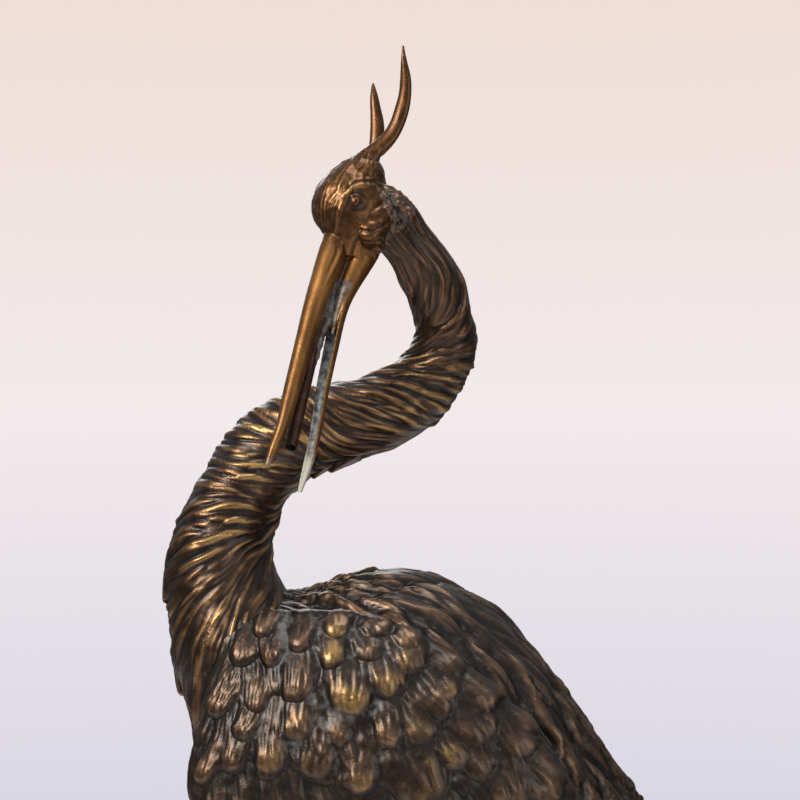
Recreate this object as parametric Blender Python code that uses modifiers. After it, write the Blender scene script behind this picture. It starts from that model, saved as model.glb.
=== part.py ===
"""Crane garden statue: a cast bronze crane looking back over its own neck, on a low base, with a water pipe in its open bill.

Metres, +Z up, origin at the centre of the base's underside. The crane faces -Y, its left side is +X.
"""
import math

import bmesh
import bpy
import numpy as np
from mathutils import Vector

# ------------------------------------------------------------------ driving dimensions (metres)
BASE_LENGTH = 0.500          # along Y
BASE_WIDTH = 0.370           # along X
BASE_HEIGHT = 0.042
BASE_BEVEL = 0.008
GAP = 0.0003                 # clearance between pieces that touch
PIPE_OUTER_R = 0.0060        # 12 mm water pipe
PIPE_INNER_R = 0.0046
VOXEL = 0.0042               # grain at which the modelled forms are fused into one casting
CAST_TRIANGLES = 5900        # triangles kept on body, wings, neck and skull
LEG_SPREAD = 0.058           # half the distance between the ankles
MM = 0.001

# Spines: each row is one station, (x, y, z, half width across x, half depth in the sagittal plane), in millimetres.
BODY = [
    (0, -172, 948, 40, 30), (0, -141, 918, 80, 74), (0, -110, 894, 100, 122), (0, -80, 868, 116, 162), (0, -32, 786, 136, 198),
    (0, 30, 690, 138, 199), (0, 84, 622, 122, 176), (0, 140, 569, 96, 140), (0, 193, 524, 70, 102), (0, 250, 477, 48, 60),
    (0, 300, 440, 34, 26), (0, 338, 412, 16, 8),
]
NECK = [
    (0, -6, 590, 62, 62), (0, -58, 664, 92, 90), (0, -104, 752, 104, 102), (0, -132, 812, 98, 96), (0, -152, 868, 86, 86),
    (0, -171, 908, 79, 78), (0, -184, 935, 72, 70), (0, -192, 960, 64, 63), (0, -198, 988, 59, 58),
    (0, -198, 1015, 54, 53), (-2, -191.2, 1041.9, 50.1, 49.1), (-4, -177.4, 1071.8, 47.1, 46.1), (-8, -154.6, 1101.7, 45.2, 44.2),
    (-12, -128.8, 1121.7, 44.3, 43.8), (-18, -75.6, 1135.7, 43.5, 43.5), (-22, -22, 1157, 41.5, 40.5), (-20, 14.4, 1191.4, 38.4, 37.4),
    (-8, 26.2, 1228.3, 34.7, 33.8), (12, 17.2, 1268.2, 31.8, 30.8), (30, -4.3, 1303.9, 29.2, 28.8), (42, -27.8, 1333.5, 27.6, 27.2),
    (47, -44.3, 1349.6, 23.5, 23),
]
WING = [
    (58, -168, 938, 20, 34), (80, -136, 896, 27, 102), (99, -84, 826, 34, 150), (110, -18, 738, 37, 170), (105, 50, 650, 34, 148),
    (88, 118, 566, 26, 106), (66, 190, 500, 18, 68), (50, 262, 444, 12, 38), (42, 334, 396, 6, 10),
]
SKULL = [
    (40, -56.1, 1396.3, 6.8, 6.8), (41, -59, 1389.3, 15.6, 14.6), (43, -61.9, 1378.3, 25.3, 25.3), (45, -64.8, 1364.4, 31.2, 33.6),
    (47, -67.2, 1348.6, 32.6, 39.6), (49, -65.6, 1334.8, 31.1, 35.9), (51, -64.6, 1321, 26.2, 30.1), (53, -65.5, 1308.2, 19.4, 24.2),
    (55, -67.4, 1297.4, 9.7, 13.5),
]
UPPER_BILL = [
    (47, -70.6, 1340.9, 11.7, 11.7), (55, -80, 1316.8, 14, 14), (65, -89.2, 1287, 13.5, 13.9), (76, -99.3, 1255.5, 11.5, 11.5),
    (92, -112.2, 1207.3, 9, 8.5), (110, -124.8, 1154.4, 6.7, 6.5), (117, -130.8, 1132.1, 5.2, 4.8), (123, -137.8, 1113.6, 3.3, 3.2),
    (128, -143, 1099, 1.1, 1.1),
]
LOWER_BILL = [
    (40, -55.2, 1329.9, 14.6, 17.6), (46, -55, 1309.8, 14.6, 17.5), (53, -60.7, 1289.8, 12.1, 13.1), (60, -68.7, 1271.9, 10.6, 10.1),
    (67, -76.7, 1254.1, 10.1, 9.2), (79, -85.8, 1215.3, 9.2, 7.9), (94, -93.7, 1172.3, 8.1, 6.6), (113, -102.2, 1118, 6, 4.9),
    (123, -109.1, 1090.4, 3.9, 3.3), (129, -113.3, 1075, 1.8, 1.5),
]
NEAR_PLUME = [
    (56, -66.4, 1380.5, 8.7, 8.7), (56, -56.7, 1390.2, 7.7, 8.2), (55, -45.2, 1400, 6.8, 6.8), (55, -31.6, 1412.6, 4.8, 5.8),
    (55, -22.9, 1427.1, 4.4, 5.3), (56, -18.1, 1441.4, 4.1, 5.3), (57, -15.2, 1455.7, 3.9, 4.8), (58, -14.7, 1471, 3.7, 4.4),
    (59, -16.1, 1486.3, 2.9, 2.9), (60, -17.1, 1502.5, 1, 1.1),
]
FAR_PLUME = [
    (36, -53.3, 1381.2, 6.9, 6.9), (33, -48.4, 1394.4, 5.9, 6.4), (31, -44.5, 1407.4, 4.9, 5.4), (30, -42.6, 1420.3, 4.4, 5.3),
    (28, -42.6, 1433.4, 4.1, 5.1), (26, -44.1, 1446.5, 3.9, 4.3), (24, -45.6, 1459.7, 3.4, 3.5), (22, -46.7, 1472.9, 1, 1.2),
]
HEAD_LEFT = (0.94, -0.05, 0.34)   # the bird's left, square to the bill
PIPE_FROM = (54, -84, 1296)
PIPE_TO = (107, -122.6, 1115.4)


def natural_cubic(t, y, q):
    n, h = len(t), np.diff(t)
    a, rhs = np.eye(n), np.zeros((n, y.shape[1]))
    for i in range(1, n - 1):
        a[i, i - 1], a[i, i], a[i, i + 1] = h[i - 1], 2 * (h[i - 1] + h[i]), h[i]
        rhs[i] = 6 * ((y[i + 1] - y[i]) / h[i] - (y[i] - y[i - 1]) / h[i - 1])
    m = np.linalg.solve(a, rhs)
    k = np.clip(np.searchsorted(t, q, side="right") - 1, 0, n - 2)
    w = h[k][:, None]
    u, v = (t[k + 1] - q)[:, None] / w, (q - t[k])[:, None] / w
    return u * y[k] + v * y[k + 1] + ((u**3 - u) * m[k] + (v**3 - v) * m[k + 1]) * w**2 / 6


def resample(rows, n):
    """n stations evenly spaced along a smooth curve through the rows."""
    rows = np.array(rows, float)
    t = np.concatenate([[0], np.cumsum(np.linalg.norm(np.diff(rows[:, :3], axis=0), axis=1))])
    fine = natural_cubic(t, rows, np.linspace(0, t[-1], 600))
    arc = np.concatenate([[0], np.cumsum(np.linalg.norm(np.diff(fine[:, :3], axis=0), axis=1))])
    return np.array([np.interp(np.linspace(0, arc[-1], n), arc, fine[:, c]) for c in range(rows.shape[1])]).T, arc[-1]


class Loft:
    """A tube of elliptical sections along a spine. A surface point is (s, p): s metres along the spine, p the angle round it."""

    def __init__(self, rows, n, ref=(1, 0, 0), scale=MM, power=1.0):
        self.power = power
        rows = np.array(rows, float) * scale
        self.rows, self.length = resample(rows, n)
        self.c, self.ra, self.rb = self.rows[:, :3], self.rows[:, 3], self.rows[:, 4]
        t = np.gradient(self.c, axis=0)
        self.t = t / np.linalg.norm(t, axis=1)[:, None]
        self.n = np.zeros_like(self.t)
        v = np.array(ref, float)
        for i, d in enumerate(self.t):
            v = v - (v @ d) * d
            v = v / np.linalg.norm(v)
            self.n[i] = v
        self.b = np.cross(self.t, self.n)
        self.s = np.linspace(0, self.length, n)

    def at(self, s, p):
        """Points, spine directions, directions round the spine and outward normals."""
        s, p = np.atleast_1d(s).astype(float), np.atleast_1d(p).astype(float)
        s = np.clip(s, 0, self.length)

        def col(a):
            return np.array([np.interp(s, self.s, a[:, k]) for k in range(3)]).T

        ra, rb = np.interp(s, self.s, self.ra)[:, None], np.interp(s, self.s, self.rb)[:, None]
        c, t, n, b = col(self.c), col(self.t), col(self.n), col(self.b)
        co, si = np.cos(p)[:, None], np.sin(p)[:, None]
        co = np.sign(co) * np.abs(co) ** self.power
        pt = c + n * ra * co + b * rb * si
        p2 = p[:, None] + 0.01
        co2 = np.cos(p2)
        co2 = np.sign(co2) * np.abs(co2) ** self.power
        ep = (n * ra * (co2 - co) + b * rb * (np.sin(p2) - si)) / 0.01
        lp = np.linalg.norm(ep, axis=1)[:, None] + 1e-9
        e = 0.004
        s2 = np.clip(s + e, 0, self.length)
        s1 = np.clip(s - e, 0, self.length)

        def raw(q):
            a1, b1 = np.interp(q, self.s, self.ra)[:, None], np.interp(q, self.s, self.rb)[:, None]
            cc = np.array([np.interp(q, self.s, self.c[:, k]) for k in range(3)]).T
            nn = np.array([np.interp(q, self.s, self.n[:, k]) for k in range(3)]).T
            bb = np.array([np.interp(q, self.s, self.b[:, k]) for k in range(3)]).T
            return cc + nn * a1 * co + bb * b1 * si

        es = (raw(s2) - raw(s1)) / np.maximum(s2 - s1, 1e-6)[:, None]
        nor = np.cross(ep / lp, es)
        nor /= np.linalg.norm(nor, axis=1)[:, None] + 1e-9
        out = np.sum(nor * (pt - c), axis=1) < 0
        nor[out] *= -1
        return pt, es, ep, nor

    def mesh(self, rings, segs, flute=None):
        s = np.linspace(0, self.length, rings)
        verts, faces = [], []
        for i, q in enumerate(s):
            ang = np.arange(segs) * 2 * math.pi / segs
            pt, _, _, nor = self.at(np.full(segs, q), ang)
            if flute is not None:
                pt = pt + nor * flute(np.full(segs, q), ang)[:, None]
            verts += [tuple(v) for v in pt]
        for i in range(rings - 1):
            for j in range(segs):
                a, b = i * segs + j, i * segs + (j + 1) % segs
                faces.append((a, b, b + segs, a + segs))
        faces.append(tuple(reversed(range(segs))))
        faces.append(tuple(range((rings - 1) * segs, rings * segs)))
        return verts, faces


def lock(loft, s0, p0, heading, length, width, rise, sink=0.005, bow=0.0, blunt=0.55, na=7, nc=4, taper_root=0.35):
    """One feather or plume: a closed patch that follows the surface from its root, standing proud by up to rise near its tip.
    heading(point, normal, es, ep) gives its direction on the surface; bow turns it as it runs."""
    verts, faces = [], []
    s, p = s0, p0
    step = length / (na - 1)
    top, low = [], []
    for i in range(na):
        u = i / (na - 1)
        pt, es, ep, nor = (a[0] for a in loft.at(s, p))
        d = heading(pt, nor, es, ep)
        d = d - (d @ nor) * nor
        d /= np.linalg.norm(d) + 1e-9
        if bow:
            c0 = np.cross(nor, d)
            d = d * math.cos(bow * u) + c0 * math.sin(bow * u)
        c = np.cross(nor, d)
        half = width / 2 * (taper_root + (1 - taper_root) * min(1, u / 0.45)) * (1 - max(0, (u - blunt) / (1 - blunt)) ** 2.2) ** 0.5
        half = max(half, width * 0.06)
        h = rise * (0.25 + 0.75 * min(1, u / 0.8))
        ls, lp = np.linalg.norm(es), np.linalg.norm(ep)
        g = np.array([[es @ es, es @ ep], [es @ ep, ep @ ep]])
        inv = np.linalg.inv(g + np.eye(2) * 1e-12)
        row_t, row_l = [], []
        for j in range(nc + 1):
            w = 2 * j / nc - 1
            off = c * (w * half)
            ds, dp = inv @ np.array([off @ es, off @ ep])
            q, _, _, qn = (a[0] for a in loft.at(s + ds, p + dp))
            row_t.append(q + qn * (h * (1 - 0.55 * w * w)))
            row_l.append(q - qn * sink)
        top.append(row_t)
        low.append(row_l)
        ds, dp = inv @ np.array([(d * step) @ es, (d * step) @ ep])
        s, p = s + ds, p + dp
    m = nc + 1
    for r in top:
        verts += [tuple(v) for v in r]
    for r in low:
        verts += [tuple(v) for v in r]
    o = na * m
    for i in range(na - 1):
        for j in range(nc):
            a = i * m + j
            faces.append((a, a + 1, a + m + 1, a + m))
            faces.append((o + a, o + a + m, o + a + m + 1, o + a + 1))
        a = i * m
        faces.append((a, a + m, o + a + m, o + a))
        a = i * m + nc
        faces.append((a, o + a, o + a + m, a + m))
    for j in range(nc):
        faces.append((j, o + j, o + j + 1, j + 1))
        a = (na - 1) * m + j
        faces.append((a, a + 1, o + a + 1, o + a))
    return verts, faces


def make_object(name, shapes, coll, mat=None):
    """One mesh object from several (verts, faces) shapes."""
    me = bpy.data.meshes.new(name)
    verts, faces = [], []
    for v, f in shapes:
        o = len(verts)
        verts += v
        faces += [tuple(i + o for i in q) for q in f]
    me.from_pydata(verts, [], faces)
    bm = bmesh.new()
    bm.from_mesh(me)
    bmesh.ops.recalc_face_normals(bm, faces=bm.faces)
    bm.to_mesh(me)
    bm.free()
    ob = bpy.data.objects.new(name, me)
    coll.objects.link(ob)
    if mat:
        me.materials.append(mat)
    return ob


def evaluated(ob):
    dg = bpy.context.evaluated_depsgraph_get()
    me = bpy.data.meshes.new_from_object(ob.evaluated_get(dg))
    return me


def mirrored(shapes):
    """The same shapes on the other side of the sagittal plane."""
    return [([(-x, y, z) for x, y, z in v], [tuple(reversed(q)) for q in f]) for v, f in shapes]


def vane(root, tip, width, thick, bow=0.0, rings=9, segs=8):
    """A single long feather, flat and round tipped, straight from root to tip but for an outward bow."""
    root, tip = np.array(root, float) * MM, np.array(tip, float) * MM
    rows = []
    for i in range(rings):
        u = i / (rings - 1)
        c = root + (tip - root) * u + np.array([bow * MM * math.sin(math.pi * u), 0, 0])
        w = width * MM / 2 * min(1, 0.45 + 1.4 * u) * math.sqrt(max(0.02, 1 - max(0, (u - 0.72) / 0.28) ** 2))
        rows.append((*c, w, thick * MM / 2 * (1 - 0.5 * u)))
    return Loft(rows, 40, ref=(1, 0, 0), scale=1.0).mesh(rings, segs)


def flow_down(point, nor, es, ep):
    """The way body feathers point: down, and back more the further back they sit."""
    y = point[1]
    back = np.clip((y + 0.20) / 0.30, -0.35, 1.25)
    return np.array([0.0, 0.62 * back, -1.0])


def new_material(name, color, rough, metal):
    m = bpy.data.materials.new(name)
    m.use_nodes = True
    b = m.node_tree.nodes["Principled BSDF"]
    b.inputs["Base Color"].default_value = (*color, 1)
    b.inputs["Roughness"].default_value = rough
    b.inputs["Metallic"].default_value = metal
    m.diffuse_color = (*color, 1)
    return m


def neck_flutes(neck):
    """Winding plume bundles on the neck, as a height over (s, angle)."""

    def height(s, ang):
        u = s / neck.length
        fade = np.clip((1 - u) / 0.2, 0.25, 1) * np.clip((u - 0.16) / 0.1, 0, 1)
        return 0.0024 * fade * np.sin(9 * ang - 24.0 * u + 0.7 * np.sin(11 * u)) + 0.0012 * np.sin(5 * ang - 15 * u + 1.0)

    return height


def wing_shapes(wing):
    """The folded wing: rows of coverts over its outer face, then the long flight feathers."""
    out = [wing.mesh(40, 28)]
    rows = 11
    for r in range(rows - 1, -1, -1):
        u = 0.03 + 0.56 * r / (rows - 1)
        s = u * wing.length
        half = np.interp(s, wing.s, wing.rb)
        n = max(2, int(round(2 * half * 1.25 / 0.038)))
        for k in range(n):
            v = -0.88 + 1.76 * (k + 0.5 * (r % 2)) / max(1, n - 0.5)
            if abs(v) < 0.93:
                out.append(lock(wing, s, math.asin(v), flow_down, 0.060 + 0.03 * u, 0.042, 0.0062, blunt=0.62))
    for k in range(8):
        u = k / 7
        out.append(vane((100 - 36 * u, 70 + 60 * u, 520 + 70 * u), (62 - 14 * u, 290 + 66 * u, 372 + 28 * u), 30, 11, bow=10))
    return out


def body_shapes():
    """Every modelled form of the casting that is fused at one grain."""
    body, neck, wing = Loft(BODY, 200), Loft(NECK, 260), Loft(WING, 160, power=0.72)
    shapes = [body.mesh(48, 40), neck.mesh(110, 54, neck_flutes(neck))]
    near = wing_shapes(wing)
    shapes += near + mirrored(near)
    for r in range(10, -1, -1):
        s = (0.16 + 0.058 * r) * body.length
        for k in range(-3, 4):
            p = -math.pi / 2 + math.radians(12 * k + 6 * (r % 2))
            shapes.append(lock(body, s, p, lambda pt, n, es, ep: np.array([0, 0.62, -0.78]), 0.110, 0.026, 0.0070, blunt=0.7, bow=0.3 * (-1) ** k))
    for k in range(-3, 4):
        shapes.append(vane((14 * k, 215, 505 - 4 * abs(k)), (19 * k, 378 - 9 * abs(k), 384 + 3 * abs(k)), 32, 12))
    shapes.append(Loft(SKULL, 60, ref=HEAD_LEFT).mesh(24, 28))
    return shapes


def curve_tube(name, pts, coll, res=2):
    """A round tapered rod through (x, y, z, radius) rows, as a mesh."""
    cu = bpy.data.curves.new(name, "CURVE")
    cu.dimensions = "3D"
    cu.bevel_depth = 1.0
    cu.bevel_resolution = res
    cu.use_fill_caps = True
    sp = cu.splines.new("POLY")
    sp.points.add(len(pts) - 1)
    for p, r in zip(sp.points, pts):
        p.co = (r[0], r[1], r[2], 1)
        p.radius = r[3]
    ob = bpy.data.objects.new(name + "_curve", cu)
    coll.objects.link(ob)
    bpy.context.view_layer.update()
    me = bpy.data.meshes.new_from_object(ob.evaluated_get(bpy.context.evaluated_depsgraph_get()))
    bm = bmesh.new()
    bm.from_mesh(me)
    bmesh.ops.remove_doubles(bm, verts=bm.verts, dist=1e-5)
    bmesh.ops.recalc_face_normals(bm, faces=bm.faces)
    bm.to_mesh(me)
    bm.free()
    bpy.data.objects.remove(ob)
    out = bpy.data.objects.new(name, me)
    coll.objects.link(out)
    return out


def apply_boolean(ob, other, op, keep=False):
    m = ob.modifiers.new(op, "BOOLEAN")
    m.operation = op
    m.solver = "EXACT"
    m.object = other
    bpy.context.view_layer.update()
    me = evaluated(ob)
    ob.modifiers.clear()
    old = ob.data
    ob.data = me
    bpy.data.meshes.remove(old)
    if not keep:
        bpy.data.objects.remove(other)


def keep_outer_shell(me):
    """Drops every island but the largest: pockets shut in between overlapping feathers aren't part of a casting."""
    bm = bmesh.new()
    bm.from_mesh(me)
    seen, islands = set(), []
    for v in bm.verts:
        if v.index in seen:
            continue
        seen.add(v.index)
        stack, island = [v], []
        while stack:
            w = stack.pop()
            island.append(w)
            for e in w.link_edges:
                o = e.other_vert(w)
                if o.index not in seen:
                    seen.add(o.index)
                    stack.append(o)
        islands.append(island)
    islands.sort(key=len)
    for island in islands[:-1]:
        bmesh.ops.delete(bm, geom=island, context="VERTS")
    bm.to_mesh(me)
    bm.free()


LEGS = {
    # side: rows of (x, y, z, radius) down to the ankle over the toes, millimetres
    1: [(62, 40, 560, 62), (63, 34, 500, 46), (62, 24, 440, 27), (60, 17, 398, 16), (59, 12, 340, 11.5), (58.5, 9, 305, 12),
        (58, 8, 283, 15.5), (58, 4, 262, 13), (58, -4, 225, 9.5), (58, -20, 140, 9), (58, -31, 76, 9.5), (58, -36, 56, 12)],
    -1: [(-62, 60, 560, 62), (-63, 62, 500, 46), (-62, 62, 440, 27), (-60, 62, 398, 16), (-59, 63, 340, 11.5), (-58.5, 64, 305, 12),
         (-58, 65, 283, 15.5), (-58, 62, 262, 13), (-58, 56, 225, 9.5), (-58, 48, 140, 9), (-58, 42, 76, 9.5), (-58, 40, 56, 12)],
}
TOES = [(-26, 92), (0, 104), (26, 92), (180, 40)]   # heading from straight ahead in degrees, length in millimetres


def foot_shapes(side, coll):
    x, y, z, r = LEGS[side][-1]
    parts = []
    for deg, length in TOES:
        a = math.radians(deg) + (0.10 * side)
        rows = []
        for i in range(8):
            u = i / 7
            rad = (8.6 - 4.8 * u) * (1.08 if i % 3 == 1 else 0.96) if i < 7 else 1.6
            zz = BASE_HEIGHT * 1000 + rad * 0.93 + (z - BASE_HEIGHT * 1000 - 8) * max(0, 1 - u * 4) * 0.6 + 0.6
            rows.append(((x + math.sin(a) * length * u) * MM, (y - math.cos(a) * length * u) * MM, zz * MM, rad * MM))
        parts.append(curve_tube("toe", rows, coll, 1))
    return parts


def build():
    for ob in list(bpy.data.objects):
        bpy.data.objects.remove(ob)
    coll = bpy.data.collections.new("crane_garden_statue")
    bpy.context.scene.collection.children.link(coll)
    bronze = new_material("bronze_patina", (0.13, 0.075, 0.04), 0.42, 0.85)
    copper = new_material("pipe_copper", (0.12, 0.06, 0.04), 0.5, 0.8)
    ground = new_material("base_bronze", (0.10, 0.065, 0.045), 0.5, 0.8)

    shapes = body_shapes()
    cast = make_object("crane", shapes, coll, bronze)
    rm = cast.modifiers.new("fuse", "REMESH")
    rm.mode = "VOXEL"
    rm.voxel_size = VOXEL
    rm.adaptivity = 0.0
    bpy.context.view_layer.update()
    me = evaluated(cast)
    cast.modifiers.clear()
    cast.data = me
    keep_outer_shell(me)
    me.update()
    me.calc_loop_triangles()
    count = len(me.loop_triangles)
    dc = cast.modifiers.new("thin", "DECIMATE")
    dc.ratio = CAST_TRIANGLES / count
    dc.use_collapse_triangulate = True
    bpy.context.view_layer.update()
    cast.data = evaluated(cast)
    cast.modifiers.clear()

    # bill, hollow below where the tongue would lie
    up = make_object("upper", [Loft(UPPER_BILL, 60, ref=HEAD_LEFT).mesh(15, 12)], coll)
    lo = make_object("lower", [Loft(LOWER_BILL, 60, ref=HEAD_LEFT).mesh(15, 12)], coll)
    trough = [(x + 2, y - 1.05 * h, z - 0.2 * h, 0.72 * w, 1.0 * h) for x, y, z, w, h in LOWER_BILL[3:]]
    cut = make_object("trough", [Loft(trough, 60, ref=HEAD_LEFT).mesh(12, 10)], coll)
    apply_boolean(lo, cut, "DIFFERENCE")
    apply_boolean(cast, up, "UNION")
    apply_boolean(cast, lo, "UNION")
    for rows in (NEAR_PLUME, FAR_PLUME):
        apply_boolean(cast, make_object("plume", [Loft(rows, 50, ref=HEAD_LEFT).mesh(16, 8)], coll), "UNION")
    # legs and feet
    for side in (1, -1):
        rows, _ = resample([tuple(v * MM for v in r) for r in LEGS[side]], 20)
        leg = curve_tube("leg", [tuple(r) for r in rows], coll, 2)
        for toe in foot_shapes(side, coll):
            apply_boolean(leg, toe, "UNION")
        apply_boolean(cast, leg, "UNION")
    # seat for the water pipe, in the throat
    a, b = Vector(PIPE_FROM) * MM, Vector(PIPE_TO) * MM
    axis = (b - a).normalized()

    def cylinder(name, r, p, q, segs=28):
        bpy.ops.mesh.primitive_cylinder_add(vertices=segs, radius=r, depth=(q - p).length, location=(p + q) / 2)
        ob = bpy.context.object
        ob.name = name
        ob.rotation_mode = "QUATERNION"
        ob.rotation_quaternion = (q - p).to_track_quat("Z", "Y")
        bpy.context.view_layer.update()
        ob.data.transform(ob.matrix_world)
        ob.matrix_world.identity()
        for c in list(ob.users_collection):
            c.objects.unlink(ob)
        coll.objects.link(ob)
        return ob

    seat = cylinder("seat", PIPE_OUTER_R + GAP, a - axis * GAP, b + axis * 0.05)
    apply_boolean(cast, seat, "DIFFERENCE")
    keep_outer_shell(cast.data)
    pipe = cylinder("water_pipe", PIPE_OUTER_R, a, b)
    bore = cylinder("bore", PIPE_INNER_R, a + axis * 0.003, b + axis * 0.02)
    apply_boolean(pipe, bore, "DIFFERENCE")
    pipe.data.materials.clear()
    pipe.data.materials.append(copper)

    # low base
    bpy.ops.mesh.primitive_cylinder_add(vertices=64, radius=0.5, depth=BASE_HEIGHT, location=(0, 0, BASE_HEIGHT / 2))
    base = bpy.context.object
    base.name = "base"
    for c in list(base.users_collection):
        c.objects.unlink(base)
    coll.objects.link(base)
    base.scale = (BASE_WIDTH, BASE_LENGTH, 1)
    bpy.context.view_layer.update()
    base.data.transform(base.matrix_world)
    base.matrix_world.identity()
    bv = base.modifiers.new("edge", "BEVEL")
    bv.width = BASE_BEVEL
    bv.segments = 2
    bv.limit_method = "ANGLE"
    bv.angle_limit = math.radians(50)
    base.data.materials.clear()
    base.data.materials.append(ground)
    return cast, pipe, base


build()
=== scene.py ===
"""Crane garden statue: patinated cast bronze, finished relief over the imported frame."""
import math

import bpy
import numpy as np
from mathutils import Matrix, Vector


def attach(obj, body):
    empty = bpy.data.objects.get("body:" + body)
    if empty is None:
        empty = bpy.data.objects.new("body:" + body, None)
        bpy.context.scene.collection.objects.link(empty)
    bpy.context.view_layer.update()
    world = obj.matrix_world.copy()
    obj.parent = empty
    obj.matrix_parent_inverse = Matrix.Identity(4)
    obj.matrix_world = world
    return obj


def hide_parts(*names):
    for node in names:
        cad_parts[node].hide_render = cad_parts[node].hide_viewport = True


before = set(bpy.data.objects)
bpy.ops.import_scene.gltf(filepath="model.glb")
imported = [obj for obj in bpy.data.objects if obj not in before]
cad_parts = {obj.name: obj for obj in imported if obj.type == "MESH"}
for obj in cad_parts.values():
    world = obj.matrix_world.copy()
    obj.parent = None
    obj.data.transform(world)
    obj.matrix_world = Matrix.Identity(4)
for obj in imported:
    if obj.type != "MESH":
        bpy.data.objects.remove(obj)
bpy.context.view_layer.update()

MM = 0.001
CAM = np.array([1.7, -0.02, 1.16])     # where the photograph was taken from, looking along -X
FOCAL = 1700.0                         # in pixels of the 800-pixel frame
PIPE_R, BORE_R = 6.0, 4.6
BASE_LENGTH, BASE_WIDTH, BASE_HEIGHT = 0.500, 0.370, 0.042
rng = np.random.default_rng(4)

# (x, y, z, half width, half depth) in millimetres, as in the CAD
BODY = [
    (0, -172, 948, 40, 30), (0, -141, 918, 80, 74), (0, -110, 894, 100, 122), (0, -80, 868, 116, 162), (0, -32, 786, 136, 198),
    (0, 30, 690, 138, 199), (0, 84, 622, 122, 176), (0, 140, 569, 96, 140), (0, 193, 524, 70, 102), (0, 250, 477, 48, 60),
    (0, 300, 440, 34, 26), (0, 338, 412, 16, 8),
]
NECK = [
    (0, -6, 590, 62, 62), (0, -58, 664, 92, 90), (0, -104, 752, 104, 102), (0, -132, 812, 98, 96), (0, -152, 868, 86, 86),
    (0, -171, 908, 79, 78), (0, -184, 935, 72, 70), (0, -192, 960, 64, 63), (0, -198, 988, 59, 58),
    (0, -198, 1015, 54, 53), (-2, -191.2, 1041.9, 50.1, 49.1), (-4, -177.4, 1071.8, 47.1, 46.1), (-8, -154.6, 1101.7, 45.2, 44.2),
    (-12, -128.8, 1121.7, 44.3, 43.8), (-18, -75.6, 1135.7, 43.5, 43.5), (-22, -22, 1157, 41.5, 40.5), (-20, 14.4, 1191.4, 38.4, 37.4),
    (-8, 26.2, 1228.3, 34.7, 33.8), (12, 17.2, 1268.2, 31.8, 30.8), (30, -4.3, 1303.9, 29.2, 28.8), (42, -27.8, 1333.5, 27.6, 27.2),
    (47, -44.3, 1349.6, 24.5, 24), (49, -57, 1357, 17, 17), (50, -66, 1361, 8, 8),
]
# how far the plumes wind from straight down the neck, in degrees, station by station
TWIST = [8, 10, 12, 16, 24, 34, 46, 55, 60, 62, 64, 62, 58, 54, 44, 44, 66, 58, 28, 12, 8, 8, 8, 8]
WING = [
    (58, -168, 938, 20, 34), (80, -136, 896, 27, 102), (99, -84, 826, 34, 150), (110, -18, 738, 37, 170), (105, 50, 650, 34, 148),
    (88, 118, 566, 26, 106), (66, 190, 500, 18, 68), (50, 262, 444, 12, 38), (42, 334, 396, 6, 10),
]
SKULL = [
    (40, -56.1, 1396.3, 6.8, 6.8), (41, -59, 1389.3, 15.6, 14.6), (43, -61.9, 1378.3, 25.3, 25.3), (45, -64.8, 1364.4, 31.2, 33.6),
    (47, -67.2, 1348.6, 32.6, 39.6), (49, -65.6, 1334.8, 31.1, 35.9), (51, -64.6, 1321, 26.2, 30.1), (53, -65.5, 1308.2, 19.4, 24.2),
    (55, -67.4, 1297.4, 9.7, 13.5),
]
UPPER_BILL = [
    (47, -70.6, 1340.9, 11.7, 11.7), (55, -80, 1316.8, 14, 14), (65, -89.2, 1287, 13.5, 13.9), (76, -99.3, 1255.5, 11.5, 11.5),
    (92, -112.2, 1207.3, 9, 8.5), (110, -124.8, 1154.4, 6.7, 6.5), (117, -130.8, 1132.1, 5.2, 4.8), (123, -137.8, 1113.6, 3.3, 3.2),
    (128, -143, 1099, 1.1, 1.1),
]
LOWER_BILL = [
    (40, -55.2, 1329.9, 14.6, 17.6), (46, -55, 1309.8, 14.6, 17.5), (53, -60.7, 1289.8, 12.1, 13.1), (60, -68.7, 1271.9, 10.6, 10.1),
    (67, -76.7, 1254.1, 10.1, 9.2), (79, -85.8, 1215.3, 9.2, 7.9), (94, -93.7, 1172.3, 8.1, 6.6), (113, -102.2, 1118, 6, 4.9),
    (123, -109.1, 1090.4, 3.9, 3.3), (129, -113.3, 1075, 1.8, 1.5),
]
NEAR_PLUME = [
    (56, -66.4, 1380.5, 8.7, 8.7), (56, -56.7, 1390.2, 7.7, 8.2), (55, -45.2, 1400, 6.8, 6.8), (55, -31.6, 1412.6, 4.8, 5.8),
    (55, -22.9, 1427.1, 4.4, 5.3), (56, -18.1, 1441.4, 4.1, 5.3), (57, -15.2, 1455.7, 3.9, 4.8), (58, -14.7, 1471, 3.7, 4.4),
    (59, -16.1, 1486.3, 2.9, 2.9), (60, -17.1, 1502.5, 1, 1.1),
]
FAR_PLUME = [
    (36, -53.3, 1381.2, 6.9, 6.9), (33, -48.4, 1394.4, 5.9, 6.4), (31, -44.5, 1407.4, 4.9, 5.4), (30, -42.6, 1420.3, 4.4, 5.3),
    (28, -42.6, 1433.4, 4.1, 5.1), (26, -44.1, 1446.5, 3.9, 4.3), (24, -45.6, 1459.7, 3.4, 3.5), (22, -46.7, 1472.9, 1, 1.2),
]
HEAD_LEFT = (0.94, -0.05, 0.34)
PIPE_FROM, PIPE_TO = (54, -84, 1296), (107, -122.6, 1115.4)
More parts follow.
